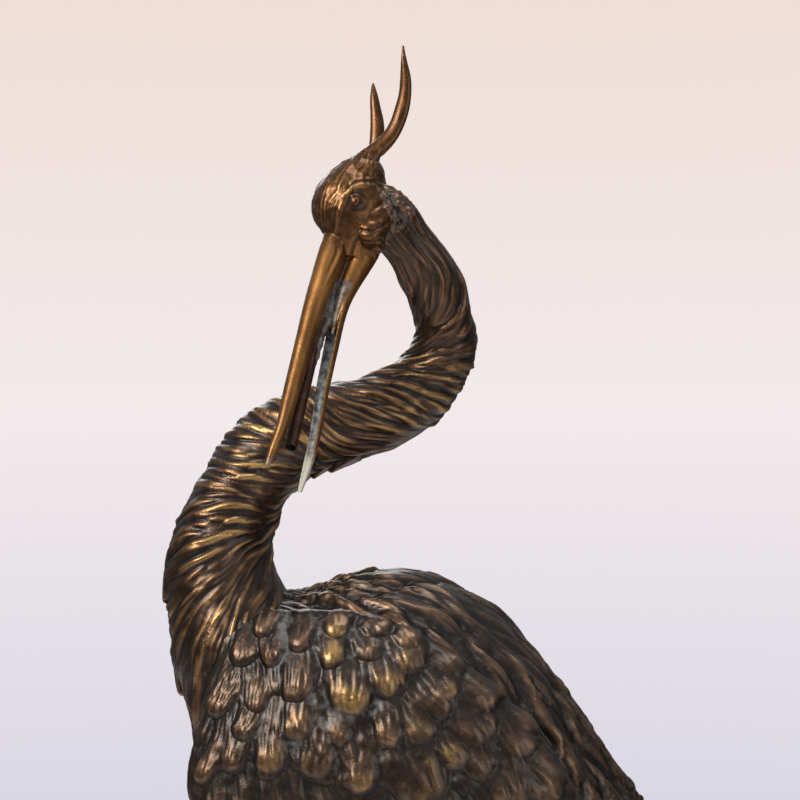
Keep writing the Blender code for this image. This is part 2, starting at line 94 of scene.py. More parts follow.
LEGS = {
    1: [(62, 40, 560, 62), (63, 34, 500, 46), (62, 24, 440, 27), (60, 17, 398, 16), (59, 12, 340, 11.5), (58.5, 9, 305, 12),
        (58, 8, 283, 15.5), (58, 4, 262, 13), (58, -4, 225, 9.5), (58, -20, 140, 9), (58, -31, 76, 9.5), (58, -36, 56, 12)],
    -1: [(-62, 60, 560, 62), (-63, 62, 500, 46), (-62, 62, 440, 27), (-60, 62, 398, 16), (-59, 63, 340, 11.5), (-58.5, 64, 305, 12),
         (-58, 65, 283, 15.5), (-58, 62, 262, 13), (-58, 56, 225, 9.5), (-58, 48, 140, 9), (-58, 42, 76, 9.5), (-58, 40, 56, 12)],
}
TOES = [(-26, 92), (0, 104), (26, 92), (180, 40)]


# ------------------------------------------------------------------ curves and lofted skins
def natural_cubic(t, y, q):
    n, h = len(t), np.diff(t)
    a, rhs = np.eye(n), np.zeros((n, y.shape[1]))
    for i in range(1, n - 1):
        a[i, i - 1], a[i, i], a[i, i + 1] = h[i - 1], 2 * (h[i - 1] + h[i]), h[i]
        rhs[i] = 6 * ((y[i + 1] - y[i]) / h[i] - (y[i] - y[i - 1]) / h[i - 1])
    m = np.linalg.solve(a, rhs)
    k = np.clip(np.searchsorted(t, q, side="right") - 1, 0, n - 2)
    w = h[k][:, None]
    u, v = (t[k + 1] - q)[:, None] / w, (q - t[k])[:, None] / w
    return u * y[k] + v * y[k + 1] + ((u**3 - u) * m[k] + (v**3 - v) * m[k + 1]) * w**2 / 6


class Loft:
    """A tube of elliptical sections along a spine; (s, p) is metres along it and the angle round it."""

    def __init__(self, rows, n, ref=(1, 0, 0), scale=MM, power=1.0, extra=None):
        self.power = power
        rows = np.array(rows, float) * scale
        if extra is not None:
            rows = np.hstack([rows, np.array(extra, float)[:, None]])
        t = np.concatenate([[0], np.cumsum(np.linalg.norm(np.diff(rows[:, :3], axis=0), axis=1))])
        fine = natural_cubic(t, rows, np.linspace(0, t[-1], 800))
        arc = np.concatenate([[0], np.cumsum(np.linalg.norm(np.diff(fine[:, :3], axis=0), axis=1))])
        self.length = arc[-1]
        self.row_s = np.interp(t / t[-1], np.linspace(0, 1, 800), arc)
        self.s = np.linspace(0, self.length, n)
        self.rows = np.array([np.interp(self.s, arc, fine[:, c]) for c in range(rows.shape[1])]).T
        self.c, self.ra, self.rb = self.rows[:, :3], self.rows[:, 3], self.rows[:, 4]
        self.t = np.gradient(self.c, axis=0)
        self.t /= np.linalg.norm(self.t, axis=1)[:, None]
        self.n = np.zeros_like(self.t)
        v = np.array(ref, float)
        for i, d in enumerate(self.t):
            v = v - (v @ d) * d
            v = v / np.linalg.norm(v)
            self.n[i] = v
        self.b = np.cross(self.t, self.n)

    def raw(self, s, p):
        s = np.clip(s, 0, self.length)
        ra, rb = np.interp(s, self.s, self.ra)[:, None], np.interp(s, self.s, self.rb)[:, None]
        c, n, b = (np.array([np.interp(s, self.s, a[:, k]) for k in range(3)]).T for a in (self.c, self.n, self.b))
        co, si = np.cos(p)[:, None], np.sin(p)[:, None]
        if self.power != 1.0:
            co = np.sign(co) * np.abs(co) ** self.power
        return c + n * ra * co + b * rb * si

    def at(self, s, p):
        """Points, their derivatives along s and p, and outward normals."""
        s, p = np.atleast_1d(s).astype(float), np.atleast_1d(p).astype(float)
        pt = self.raw(s, p)
        s1, s2 = np.clip(s - 0.003, 0, self.length), np.clip(s + 0.003, 0, self.length)
        es = (self.raw(s2, p) - self.raw(s1, p)) / (s2 - s1)[:, None]
        ep = (self.raw(s, p + 0.01) - self.raw(s, p - 0.01)) / 0.02
        nor = np.cross(ep, es)
        nor /= np.linalg.norm(nor, axis=1)[:, None] + 1e-12
        c = np.array([np.interp(np.clip(s, 0, self.length), self.s, self.c[:, k]) for k in range(3)]).T
        out = np.sum(nor * (pt - c), axis=1) < 0
        nor[out] *= -1
        return pt, es, ep, nor

    def paths(self, s, p, length, steps, heading):
        """Many paths over the surface at once, each led by heading(point, normal, e1, e2, s, p, u). Returns points (n, steps, 3) and normals."""
        s, p = np.array(s, float), np.array(p, float)
        step = np.broadcast_to(np.asarray(length, float), s.shape) / (steps - 1)
        pts, nors = [], []
        for i in range(steps):
            pt, es, ep, nor = self.at(s, p)
            pts.append(pt)
            nors.append(nor)
            e1 = es / (np.linalg.norm(es, axis=1)[:, None] + 1e-9)
            e2 = ep - np.sum(ep * e1, axis=1)[:, None] * e1
            e2 /= np.linalg.norm(e2, axis=1)[:, None] + 1e-9
            d = heading(pt, nor, e1, e2, s, p, i / (steps - 1))
            d = d - np.sum(d * nor, axis=1)[:, None] * nor
            d /= np.linalg.norm(d, axis=1)[:, None] + 1e-9
            d *= step[:, None]
            a, b, c = np.sum(es * es, 1), np.sum(es * ep, 1), np.sum(ep * ep, 1)
            x, y = np.sum(d * es, 1), np.sum(d * ep, 1)
            det = a * c - b * b + 1e-12
            s = np.clip(s + (c * x - b * y) / det, 0, self.length)
            p = p + (a * y - b * x) / det
        return np.array(pts).transpose(1, 0, 2), np.array(nors).transpose(1, 0, 2)


def pixels(pt):
    """Where points appear in the photograph's frame."""
    z = CAM[0] - pt[:, 0]
    return 400 + (pt[:, 1] - CAM[1]) / z * FOCAL, 400 - (pt[:, 2] - CAM[2]) / z * FOCAL


def value_noise(pt, size, seed):
    """Smooth noise in -1..1 over points, lattice of that size in metres."""
    q = pt / size
    i = np.floor(q).astype(np.int64)
    f = q - i
    f = f * f * (3 - 2 * f)
    out = 0
    for dx in (0, 1):
        for dy in (0, 1):
            for dz in (0, 1):
                k = (i[:, 0] + dx) * 73856093 ^ (i[:, 1] + dy) * 19349663 ^ (i[:, 2] + dz) * 83492791 ^ seed * 2654435761
                k = (k ^ (k >> 13)) * 1274126177 & 0x7FFFFFFF
                k = (k ^ (k >> 16)) & 0xFFFF
                w = (f[:, 0] if dx else 1 - f[:, 0]) * (f[:, 1] if dy else 1 - f[:, 1]) * (f[:, 2] if dz else 1 - f[:, 2])
                out = out + w * (k / 32767.5 - 1)
    return out


class Relief:
    """Heights over a set of surface points, raised by stamps that follow paths in space."""

    def __init__(self, P, N, cell=0.008):
        self.P, self.N, self.cell = P, N, cell
        self.H = np.zeros(len(P))
        self.extra = {}
        q = np.floor(P / cell).astype(np.int64) + 500
        key = (q[:, 0] * 2000 + q[:, 1]) * 2000 + q[:, 2]
        order = np.argsort(key, kind="stable")
        ks, start = np.unique(key[order], return_index=True)
        self.bins = dict(zip(ks.tolist(), np.split(order, start[1:])))

    def near(self, path, reach):
        r = int(math.ceil(reach / self.cell))
        seg = np.linalg.norm(np.diff(path, axis=0), axis=1)
        t = np.concatenate([[0], np.cumsum(seg)])
        m = max(2, int(t[-1] / self.cell) + 2)
        pts = np.array([np.interp(np.linspace(0, t[-1], m), t, path[:, k]) for k in range(3)]).T
        q = np.floor(pts / self.cell).astype(np.int64) + 500
        o = np.arange(-r, r + 1)
        off = np.array(np.meshgrid(o, o, o, indexing="ij")).reshape(3, -1).T
        q = (q[:, None, :] + off[None]).reshape(-1, 3)
        key = np.unique((q[:, 0] * 2000 + q[:, 1]) * 2000 + q[:, 2])
        hit = [self.bins[k] for k in key.tolist() if k in self.bins]
        return np.concatenate(hit) if hit else np.zeros(0, int)

    def local(self, path, half, side_normal=None):
        """Candidate points near a path: u along it, v the signed distance from it in half widths, q the part of v that lies square to it."""
        idx = self.near(path, float(np.max(half)))
        if not len(idx):
            return idx, None, None, None
        Q = self.P[idx]
        k = len(path) - 1
        best = np.full(len(idx), 1e9)
        u = np.zeros(len(idx))
        sg = np.zeros(len(idx))
        for i in range(k):
            a, d = path[i], path[i + 1] - path[i]
            L = d @ d + 1e-12
            t = np.clip(((Q - a) @ d) / L, 0, 1)
            w = Q - a - t[:, None] * d
            dist = np.sum(w * w, axis=1)
            m = dist < best
            best[m] = dist[m]
            u[m] = (i + t[m]) / k
            sg[m] = np.einsum("ij,ij->i", np.cross(self.N[idx[m]], d / math.sqrt(L)), w[m])
        dist = np.sqrt(best)
        hw = np.interp(u, np.linspace(0, 1, len(half)), half)
        return idx, u, np.sign(sg) * dist / hw, sg / hw

    def stamp(self, path, half, shape, add=False):
        idx, u, v, q = self.local(path, half)
        if not len(idx):
            return
        m = np.abs(v) < 1
        idx, u, v = idx[m], u[m], v[m]
        h = shape(u, v, q[m])
        if add:
            self.H[idx] += h
        else:
            self.H[idx] = np.maximum(self.H[idx], h)


def grid_normals(P, shape, wrap):
    G = P.reshape(*shape, 3)
    ds = np.gradient(G, axis=0)
    if wrap:
        dp = (np.roll(G, -1, axis=1) - np.roll(G, 1, axis=1)) / 2
    else:
        dp = np.gradient(G, axis=1)
    n = np.cross(dp, ds)
    n /= np.linalg.norm(n, axis=2)[..., None] + 1e-12
    return n.reshape(-1, 3)


def box_blur(A, r0, r1, wrap):
    """Mean over a window of a grid, wrapped round axis 1 where the skin closes."""
    A = np.pad(A, ((r0, r0), (0, 0)), mode="edge")
    A = np.pad(A, ((0, 0), (r1, r1)), mode="wrap" if wrap else "edge")
    c = np.cumsum(np.pad(A, ((1, 0), (0, 0))), axis=0)
    A = (c[2 * r0 + 1:] - c[:-2 * r0 - 1]) / (2 * r0 + 1)
    c = np.cumsum(np.pad(A, ((0, 0), (1, 0))), axis=1)
    return (c[:, 2 * r1 + 1:] - c[:, :-2 * r1 - 1]) / (2 * r1 + 1)


class Skin(Relief):
    """A grid over a loft, closed round it, to be raised by stamps and made into a mesh."""

    def __init__(self, loft, s, p, shape=None, cell=0.008):
        self.loft, self.dims = loft, (len(s), len(p))
        S, A = np.meshgrid(s, p, indexing="ij")
        self.S, self.A = S.ravel(), A.ravel()
        P, es, ep, N = loft.at(self.S, self.A)
        if shape is not None:
            P = P + N * shape(P, self.S, self.A)[:, None]
            M = grid_normals(P, self.dims, True)
            M[np.sum(M * N, axis=1) < 0] *= -1
            N = M
        super().__init__(P, N, cell)

    def ridge(self, r0=4, r1=4):
        """How far each point stands above its neighbourhood, in metres."""
        H = self.H.reshape(self.dims)
        b = box_blur(box_blur(H, r0, r1, True), r0, r1, True)
        return (H - b).ravel()

    def faces(self):
        n, m = self.dims
        i = np.arange(n - 1)[:, None] * m
        j = np.arange(m)[None]
        a = (i + j).ravel()
        b = (i + (j + 1) % m).ravel()
        return np.array([a, b, b + m, a + m]).T


def mesh_object(name, verts, faces, mat, attrs=None, smooth=True):
    """A mesh of quads or triangles from arrays, with named float attributes on its points."""
    me = bpy.data.meshes.new(name)
    k = faces.shape[1]
    me.vertices.add(len(verts))
    me.vertices.foreach_set("co", np.ascontiguousarray(verts, np.float32).ravel())
    me.loops.add(faces.size)
    me.loops.foreach_set("vertex_index", np.ascontiguousarray(faces, np.int32).ravel())
    me.polygons.add(len(faces))
    me.polygons.foreach_set("loop_start", np.arange(0, faces.size, k, dtype=np.int32))
    me.polygons.foreach_set("loop_total", np.full(len(faces), k, np.int32))
    me.update(calc_edges=True)
    me.validate()
    if smooth:
        me.polygons.foreach_set("use_smooth", np.ones(len(me.polygons), bool))
    for key, val in (attrs or {}).items():
        at = me.attributes.new(key, "FLOAT", "POINT")
        at.data.foreach_set("value", np.ascontiguousarray(val, np.float32))
    me.materials.append(mat)
    ob = bpy.data.objects.new(name, me)
    bpy.context.scene.collection.objects.link(ob)
    return ob


def skin_object(name, skin, mat, gold_and_highlight, dust, ridge_scale=0.0011, flip=False, mirror=False, r=(4, 4)):
    P = skin.P + skin.N * skin.H[:, None]
    F = skin.faces()
    n = grid_normals(P, skin.dims, True)
    if np.sum(n * skin.N) > 0:
        F = F[:, ::-1]
    rid = np.clip(skin.ridge(*r) / ridge_scale, -1, 1)
    if mirror:
        P = P * np.array([-1, 1, 1])
        F = F[:, ::-1]
    ob = mesh_object(name, P, F, mat, {"ridge": rid, "gold_and_highlight": np.clip(gold_and_highlight, 0, 1), "dust": np.clip(dust, 0, 1)})
    return ob


# ------------------------------------------------------------------ finishes
def node_group_start(name):
    m = bpy.data.materials.new(name)
    m.use_nodes = True
    nt = m.node_tree
    return m, nt, nt.nodes["Principled BSDF"]


def link(nt, a, b):
    nt.links.new(a, b)


def new(nt, kind, **props):
    n = nt.nodes.new(kind)
    for k, v in props.items():
        setattr(n, k, v)
    return n


def attr(nt, name):
    return new(nt, "ShaderNodeAttribute", attribute_name=name).outputs["Fac"]


def noise(nt, scale, detail=4.0, rough=0.55, vector=None):
    n = new(nt, "ShaderNodeTexNoise")
    n.inputs["Scale"].default_value = scale
    n.inputs["Detail"].default_value = detail
    n.inputs["Roughness"].default_value = rough
    if vector is not None:
        link(nt, vector, n.inputs["Vector"])
    return n.outputs["Fac"]


def math_node(nt, op, a, b=None, c=None, clamp=False):
    n = new(nt, "ShaderNodeMath", operation=op, use_clamp=clamp)
    for i, x in enumerate((a, b, c)):
        if x is None:
            continue
        if isinstance(x, (int, float)):
            n.inputs[i].default_value = x
        else:
            link(nt, x, n.inputs[i])
    return n.outputs[0]


def remap(nt, x, a, b, c=0.0, d=1.0, smooth=True):
    n = new(nt, "ShaderNodeMapRange", interpolation_type="SMOOTHSTEP" if smooth else "LINEAR")
    link(nt, x, n.inputs["Value"])
    for k, v in zip(("From Min", "From Max", "To Min", "To Max"), (a, b, c, d)):
        n.inputs[k].default_value = v
    return n.outputs["Result"]


def mix(nt, f, a, b, blend="MIX"):
    n = new(nt, "ShaderNodeMix", data_type="RGBA", blend_type=blend)
    if isinstance(f, (int, float)):
        n.inputs["Factor"].default_value = f
    else:
        link(nt, f, n.inputs["Factor"])
    for sock, x in ((n.inputs[6], a), (n.inputs[7], b)):
        if isinstance(x, tuple):
            sock.default_value = (*x, 1)
        else:
            link(nt, x, sock)
    return n.outputs[2]


def ramp(nt, x, stops):
    n = new(nt, "ShaderNodeValToRGB")
    link(nt, x, n.inputs["Fac"])
    el = n.color_ramp.elements
    while len(el) < len(stops):
        el.new(0.5)
    for e, (pos, col) in zip(el, stops):
        e.position, e.color = pos, (*col, 1)
    return n.outputs["Color"]


def bronze(name, warm=1.0, bump=0.35, base=None):
    """Dark oxide in the hollows, brown on the slopes, bare golden metal where the ridges are rubbed, golden painted
    highlights in patches laid on the neck, wing and head, grey deposit in places.
    """
    m, nt, b = node_group_start(name)
    co = new(nt, "ShaderNodeTexCoord").outputs["Object"]
    ridge, gold_and_highlight, dust = attr(nt, "ridge"), attr(nt, "gold_and_highlight"), attr(nt, "dust")
    n1 = noise(nt, 22.0, 5, 0.6, co)
    n2 = noise(nt, 110.0, 4, 0.6, co)
    n3 = noise(nt, 420.0, 3, 0.6, co)
    jit = math_node(nt, "MULTIPLY_ADD", n1, 0.7, -0.35)
    jit2 = math_node(nt, "MULTIPLY_ADD", n2, 0.5, -0.25)
    x = math_node(nt, "MULTIPLY_ADD", ridge, 0.42, 0.48)
    x = math_node(nt, "ADD", x, math_node(nt, "ADD", math_node(nt, "MULTIPLY", jit, 0.8), jit2))
    col = ramp(nt, x, base or [
        (0.10, (0.024, 0.0165, 0.0125)), (0.36, (0.052, 0.032, 0.0215)), (0.56, (0.098, 0.054, 0.031)),
        (0.76, (0.170, 0.086, 0.042)), (0.98, (0.27, 0.140, 0.060)),
    ])
    # golden colour: bare metal on rubbed ridges, and painted highlights where the parts raise the gold channel
    g = math_node(nt, "MULTIPLY", remap(nt, math_node(nt, "ADD", ridge, math_node(nt, "MULTIPLY", jit2, 1.6)), 0.0, 0.9), remap(nt, math_node(nt, "ADD", gold_and_highlight, math_node(nt, "MULTIPLY", jit, 1.3)), 0.20, 0.90))
    col = mix(nt, g, col, (0.50 * warm, 0.300 * warm, 0.105 * warm))
    hollow = math_node(nt, "MULTIPLY", ridge, -0.16)
    d = math_node(nt, "MULTIPLY", remap(nt, math_node(nt, "ADD", math_node(nt, "ADD", dust, hollow), math_node(nt, "ADD", jit, math_node(nt, "MULTIPLY", jit2, 2.2))), 0.38, 0.80), 0.62)
    col = mix(nt, d, col, (0.215, 0.203, 0.190))
    link(nt, col, b.inputs["Base Color"])
    met = math_node(nt, "MULTIPLY", remap(nt, x, 0.10, 0.60, 0.72, 0.97), math_node(nt, "SUBTRACT", 1.0, math_node(nt, "MULTIPLY", d, 0.85)))
    link(nt, met, b.inputs["Metallic"])
    r = remap(nt, n2, 0.25, 0.8, 0.30, 0.46)
    r = math_node(nt, "ADD", r, math_node(nt, "MULTIPLY", d, 0.3))
    link(nt, r, b.inputs["Roughness"])
    b.inputs["Specular IOR Level"].default_value = 0.35
    b.inputs["Coat Weight"].default_value = 0.20
    b.inputs["Coat Roughness"].default_value = 0.22
    bp = new(nt, "ShaderNodeBump")
    bp.inputs["Strength"].default_value = bump
    bp.inputs["Distance"].default_value = 0.0012
    link(nt, math_node(nt, "ADD", math_node(nt, "MULTIPLY", n3, 0.5), n2), bp.inputs["Height"])
    link(nt, bp.outputs["Normal"], b.inputs["Normal"])
    return m


# ------------------------------------------------------------------ shapes of the carving
def smooth01(x):
    x = np.clip(x, 0, 1)
    return x * x * (3 - 2 * x)


def lock_shape(h, lines=0.0, phase=0.0, lift=0.35):
    """A plume: a rounded rope, low at its root, highest two thirds along."""

    def f(u, v, q):
        env = smooth01(u / 0.3) * (lift + (1 - lift) * smooth01(u / 0.75)) * (1 - 0.35 * smooth01((u - 0.8) / 0.2))
        r = h * env * np.sqrt(np.clip(1 - v * v, 0, 1))
        if lines:
            r = r - h * lines * env * (0.5 + 0.5 * np.cos(q * 9.4 + phase + u * 2.0)) * (1 - v * v)
        return r

    return f


def covert_shape(h, lines=0.22, count=2.6, phase=0.0, keel=0.0):
    """A body feather: a pad that rises to a rounded tip, grooved lengthwise."""

    def f(u, v, q):
        rim = np.clip(1 - np.abs(v) ** 3.0, 0, 1) ** 0.60
        r = h * (0.03 + 0.97 * u ** 1.1) * rim
        g = (0.5 + 0.5 * np.cos(2 * np.pi * count * q * (1.1 - 0.25 * u) + phase)) ** 1.5 * (1 - 0.75 * smooth01((np.abs(v) - 0.55) / 0.4))
        r = r - h * lines * g * smooth01((u - 0.12) / 0.5) * np.clip(1 - np.abs(v) ** 3, 0, 1)
        if keel:
            r = r + h * keel * np.exp(-(q / 0.12) ** 2) * smooth01(u / 0.3)
        return r

    return f


def lock_half(w, n=9, tip=0.14, root=0.35):
    u = np.linspace(0, 1, n)
    return w * (root + (1 - root) * smooth01(u / 0.35)) * (tip + (1 - tip) * (1 - smooth01((u - 0.45) / 0.55) ** 1.2))


def covert_half(w, n=6, tip=0.80, root=0.6):
    u = np.linspace(0, 1, n)
    return w * (root + (1 - root) * smooth01(u / 0.5)) * (1 - (1 - tip) * smooth01((u - 0.6) / 0.4))


def spread_seeds(skin, gap, s_range=None, jitter=0.5, keep=None, extra=None):
    """Points (s, p) about gap apart all over a skin, in rows that break joint."""
    L = skin.loft
    s0, s1 = s_range or (0, L.length)
    out = []
    rows = max(1, int((s1 - s0) / gap))
    for r in range(rows):
        s = s0 + (r + 0.5) * (s1 - s0) / rows
        q = np.linspace(0, 2 * np.pi, 240)
        pt = L.raw(np.full(240, s), q)
        arc = np.concatenate([[0], np.cumsum(np.linalg.norm(np.diff(pt, axis=0), axis=1))])
        n = max(3, int(arc[-1] / gap))
        a = (np.arange(n) + 0.5 * (r % 2) + rng.uniform(-jitter, jitter, n) * 0.8) / n * arc[-1]
        p = np.interp(a % arc[-1], arc, q)
        out += [(s + rng.uniform(-jitter, jitter) * gap, x) for x in p]
    out = np.array(out)
    if keep is not None:
        pt, _, _, nor = L.at(out[:, 0], out[:, 1])
        out = out[keep(pt, nor, out[:, 0], out[:, 1])]
    return out


def lay_locks(skin, seeds, heading, length, half, height, steps=9, lines=0.0, vary=0.35, add=False, tip=0.14, lift=0.35):
    if not len(seeds):
        return
    n = len(seeds)
    ln = length * rng.uniform(1 - vary, 1 + vary, n)
    pts, _ = skin.loft.paths(seeds[:, 0], seeds[:, 1], ln, steps, heading)
    for i in range(n):
        hw = lock_half(half * rng.uniform(0.75, 1.3), steps, tip)
        hh = height * rng.uniform(0.6, 1.25)
        skin.stamp(pts[i], hw, lock_shape(hh, lines, rng.uniform(0, 6), lift), add)


def combed(skin, heading, reach, sizes, steps=10, seed=0, draw=6.5):
    """Noise drawn out along the lie of the plumage, one field for each size, each of unit spread."""
    loft = skin.loft
    fwd, _ = loft.paths(skin.S, skin.A, reach, steps, heading)
    back, _ = loft.paths(skin.S, skin.A, reach, steps, lambda *a: -heading(*a))
    pts = np.concatenate([back[:, :0:-1], fwd], axis=1)
    mid = steps - 1
    step = reach / mid
    out = []
    for c, size in enumerate(sizes):
        span = min(reach * 0.99, draw * size)
        k = 2 * int(math.ceil(span / (0.5 * size))) + 1
        off = np.linspace(-span, span, k)
        w = np.hanning(k + 2)[1:-1]
        w /= w.sum()
        tot = 0
        for o, ww in zip(off, w):
            f = mid + o / step
            a = int(math.floor(f))
            tot = tot + ww * value_noise(pts[:, a] * (1 - f + a) + pts[:, a + 1] * (f - a), size, seed + 7 * c)
        out.append(tot / tot.std())
    return out


def locks(n, sharp=1.0):
    """Rounded tops and sharp grooves from a field of unit spread, 0..1."""
    return np.tanh(np.abs(n) * 1.25 * sharp) ** 0.9


# ------------------------------------------------------------------ neck
def build_neck(mat):
    loft = Loft(NECK, 400, extra=TWIST)
    twist = loft.rows[:, 5]
    rs = loft.row_s
    s_list = np.concatenate([np.arange(0.0, rs[1] - 0.04, 0.005), np.arange(rs[1] - 0.04, rs[4], 0.0022), np.arange(rs[4], loft.length, 0.00118)])
    t = np.linspace(0, 2 * np.pi, 186, endpoint=False)
    p_list = t - 0.4 * np.sin(t)

    def base(P, S, A):
        low = 0.004 * value_noise(P, 0.06, 3) + 0.0016 * value_noise(P, 0.022, 5)
        return -0.0022 + low

    skin = Skin(loft, s_list, p_list, base)

    def wind(k_wave, wave, phase):
        def f(pt, nor, e1, e2, s, p, u):
            a = np.radians(np.interp(s, loft.s, twist)) + 0.42 * value_noise(pt, 0.050, 9) + 0.2 * value_noise(pt, 0.022, 10) + wave * np.sin(2 * np.pi * (k_wave * u) + phase)
            return -(e1 * np.cos(a)[:, None] + e2 * np.sin(a)[:, None])
        return f

    n_big, n_mid, n_fine = combed(skin, wind(0, 0.0, 0.0), 0.072, (0.0120, 0.0054, 0.0029), 16, 200, 9.5)
    swell = 0.72 + 0.38 * value_noise(skin.P, 0.045, 205)
    skin.H += swell * (0.0027 * locks(n_big, 0.8) + 0.0017 * locks(n_mid, 0.8) + 0.00042 * n_fine) - 0.0026
    # raised plumes that lie over the others
    for gap, ln, hw, hh, wave, lines, lift in ((0.050, 0.105, 0.0058, 0.0017, 0.24, 0.0, 0.3), (0.036, 0.080, 0.0030, 0.0011, 0.30, 0.0, 0.3)):
        seeds = spread_seeds(skin, gap, (rs[1], loft.length - 0.004))
        ph = rng.uniform(0, 2 * np.pi, len(seeds))
        lay_locks(skin, seeds, wind(1.1, wave, ph), ln, hw, hh, 10, lines, 0.4, add=True, lift=lift)
    # free tips that break the outline of the breast and the under side of the bend
    tips = [((160, 566), (156, 600), 8, 3.5), ((176, 650), (184, 690), 10, 6), ((356, 461), (334, 474), 9, 5), ((336, 466), (316, 478), 7, 4)]
    px, py = pixels(skin.P)
    for (x0, y0), (x1, y1), w, h in tips:
        i0, i1 = np.argmin((px - x0) ** 2 + (py - y0) ** 2), np.argmin((px - x1) ** 2 + (py - y1) ** 2)
        for dx in (-0.007, 0.006):
            a, b = skin.P[i0] + [dx, 0, 0], skin.P[i1] + [dx * 0.8, 0, 0]
            path = a + (b - a) * np.linspace(0, 1, 5)[:, None]
            skin.stamp(path, np.array([0.7, 1, 1, 0.9, 0.55]) * w * MM, covert_shape(h * MM, 0.12, 1.6))
    skin.H *= 1 - smooth01((skin.S - loft.row_s[-3]) / 0.010)
    # rough ruff where the plumes leave the head
    ruff = smooth01((skin.S - loft.row_s[-4] + 0.012 + 0.005 * value_noise(skin.P, 0.012, 323)) / 0.009)
    w1, w2 = value_noise(skin.P, 0.0056, 321), value_noise(skin.P, 0.0028, 322)
    skin.H += ruff * (1 - smooth01((skin.S - loft.row_s[-3]) / 0.012)) * (0.0020 * np.abs(w1) ** 0.8 + 0.0013 * np.abs(w2) ** 0.8 - 0.0004)
    P, H = skin.P, skin.H
    gold_and_highlight = 0.18 + 0.28 * value_noise(P, 0.05, 21)
    # painted highlights: gold patches laid where the top and the left front of the neck catch the light from above,
    # over a random tone of rubbed metal
    for cx, cy, rx, ry, g in ((250, 450, 60, 40, 0.50), (235, 530, 46, 40, 0.40), (215, 620, 50, 40, 0.12), (340, 430, 60, 30, 0.10), (415, 415, 45, 30, 0.45)):
        gold_and_highlight = gold_and_highlight + g * np.exp(-((px - cx) / rx) ** 2 - ((py - cy) / ry) ** 2)
    dust = 0.10 + 0.12 * value_noise(P, 0.03, 31) + 0.46 * ruff
    n, m = skin.dims
    V = P + skin.N * H[:, None]
    F = skin.faces()
    if np.sum(grid_normals(V, skin.dims, True) * skin.N) > 0:
        F = F[:, ::-1]
    rid = np.clip(skin.ridge(4, 4) / 0.00072, -1, 1)
    cut = (n // 2) * m
    obs = []
    for name, v0, v1 in (("neck_lower", 0, cut + m), ("neck_upper", cut, n * m)):
        f = F[(F.min(axis=1) >= v0) & (F.max(axis=1) < v1)] - v0
        obs.append(mesh_object(name, V[v0:v1], f, mat, {"ridge": rid[v0:v1], "gold_and_highlight": np.clip(gold_and_highlight[v0:v1], 0, 1), "dust": np.clip(dust[v0:v1], 0, 1)}))
    return obs


# ------------------------------------------------------------------ body and mantle
def build_body(mat):
    loft = Loft(BODY, 300)
    L = loft.length
    s_list = np.concatenate([np.arange(0.0, 0.62 * L, 0.0017), np.arange(0.62 * L, L, 0.0034)])
    t = np.linspace(0, 2 * np.pi, 170, endpoint=False)
    p_list = -1.1 + (t - 0.55 * np.sin(t))

    def base(P, S, A):
        return -0.004 + 0.005 * value_noise(P, 0.055, 13) * smooth01((S - 0.02) / 0.05)

    skin = Skin(loft, s_list, p_list, base, cell=0.010)

    def flow(wave, k, phase, down):
        def f(pt, nor, e1, e2, s, p, u):
            a = wave * np.sin(2 * np.pi * k * u + phase) * np.ones(len(s))
            d = e1 * np.cos(a)[:, None] + np.cross(nor, e1) * np.sin(a)[:, None]
            return d + (down + 0.9 * smooth01(1 - s / (0.42 * L)))[:, None] * np.array([0, 0, -1.0])
        return f

    back = lambda pt, nor, s, p: (np.cos(p + np.pi / 2) > -0.35)
    belly = lambda pt, nor, s, p: (np.cos(p + np.pi / 2) <= -0.2)
    def drift(pt, nor, e1, e2, s, p, u):
        a = 0.50 * value_noise(pt, 0.055, 19) + 0.30 * value_noise(pt, 0.024, 20)
        fall = 0.45 + 1.0 * smooth01(1 - s / (0.42 * L))
        d = e1 + fall[:, None] * np.array([0, 0, -1.0])
        d = d - np.sum(d * nor, axis=1)[:, None] * nor
        d /= np.linalg.norm(d, axis=1)[:, None] + 1e-9
        return d * np.cos(a)[:, None] + np.cross(nor, d) * np.sin(a)[:, None]

    n_big, n_mid, n_fine = combed(skin, drift, 0.050, (0.0170, 0.0080, 0.0040), 11, 300)
    top = smooth01((np.cos(skin.A + np.pi / 2) + 0.45) / 0.35)
    skin.H += top * (0.0062 * locks(n_big) + 0.0032 * locks(n_mid) + 0.0007 * n_fine - 0.0040) + (1 - top) * 0.0006 * n_fine
    for gap, ln, hw, hh, wave, lines in ((0.040, 0.120, 0.0085, 0.0050, 0.40, 0.14), (0.030, 0.090, 0.0045, 0.0030, 0.50, 0.0)):
        seeds = spread_seeds(skin, gap, (0.0, 0.80 * L), keep=back)
        ph = rng.uniform(0, 2 * np.pi, len(seeds))
        lay_locks(skin, seeds, flow(wave, 1.2, ph, 0.35), ln, hw, hh, 10, lines, 0.35, add=True, lift=0.3)
    seeds = spread_seeds(skin, 0.026, (0.0, 0.86 * L), 0.25, keep=belly)
    pts, _ = loft.paths(seeds[:, 0], seeds[:, 1], 0.050, 5, flow(0.0, 1, 0.0, 0.2))
    for q in pts:
        skin.stamp(q, covert_half(0.0150 * rng.uniform(0.85, 1.15), 5, 0.6), covert_shape(0.0034 * rng.uniform(0.8, 1.2), 0.2, 2.1, rng.uniform(0, 6)))
    P = skin.P
    px, py = pixels(P)
    front = np.exp(-((px - 338) / 34) ** 2 - ((py - 590) / 20) ** 2)
    skin.H += front * (0.0075 * np.abs(value_noise(P, 0.013, 43)) ** 0.8 + 0.0025 * np.abs(value_noise(P, 0.006, 44)))
    gold_and_highlight = 0.06 + 0.20 * value_noise(P, 0.08, 41)
    dust = 0.16 + 0.14 * value_noise(P, 0.03, 51)
    return skin_object("body", skin, mat, gold_and_highlight, dust, 0.0016, r=(3, 3))


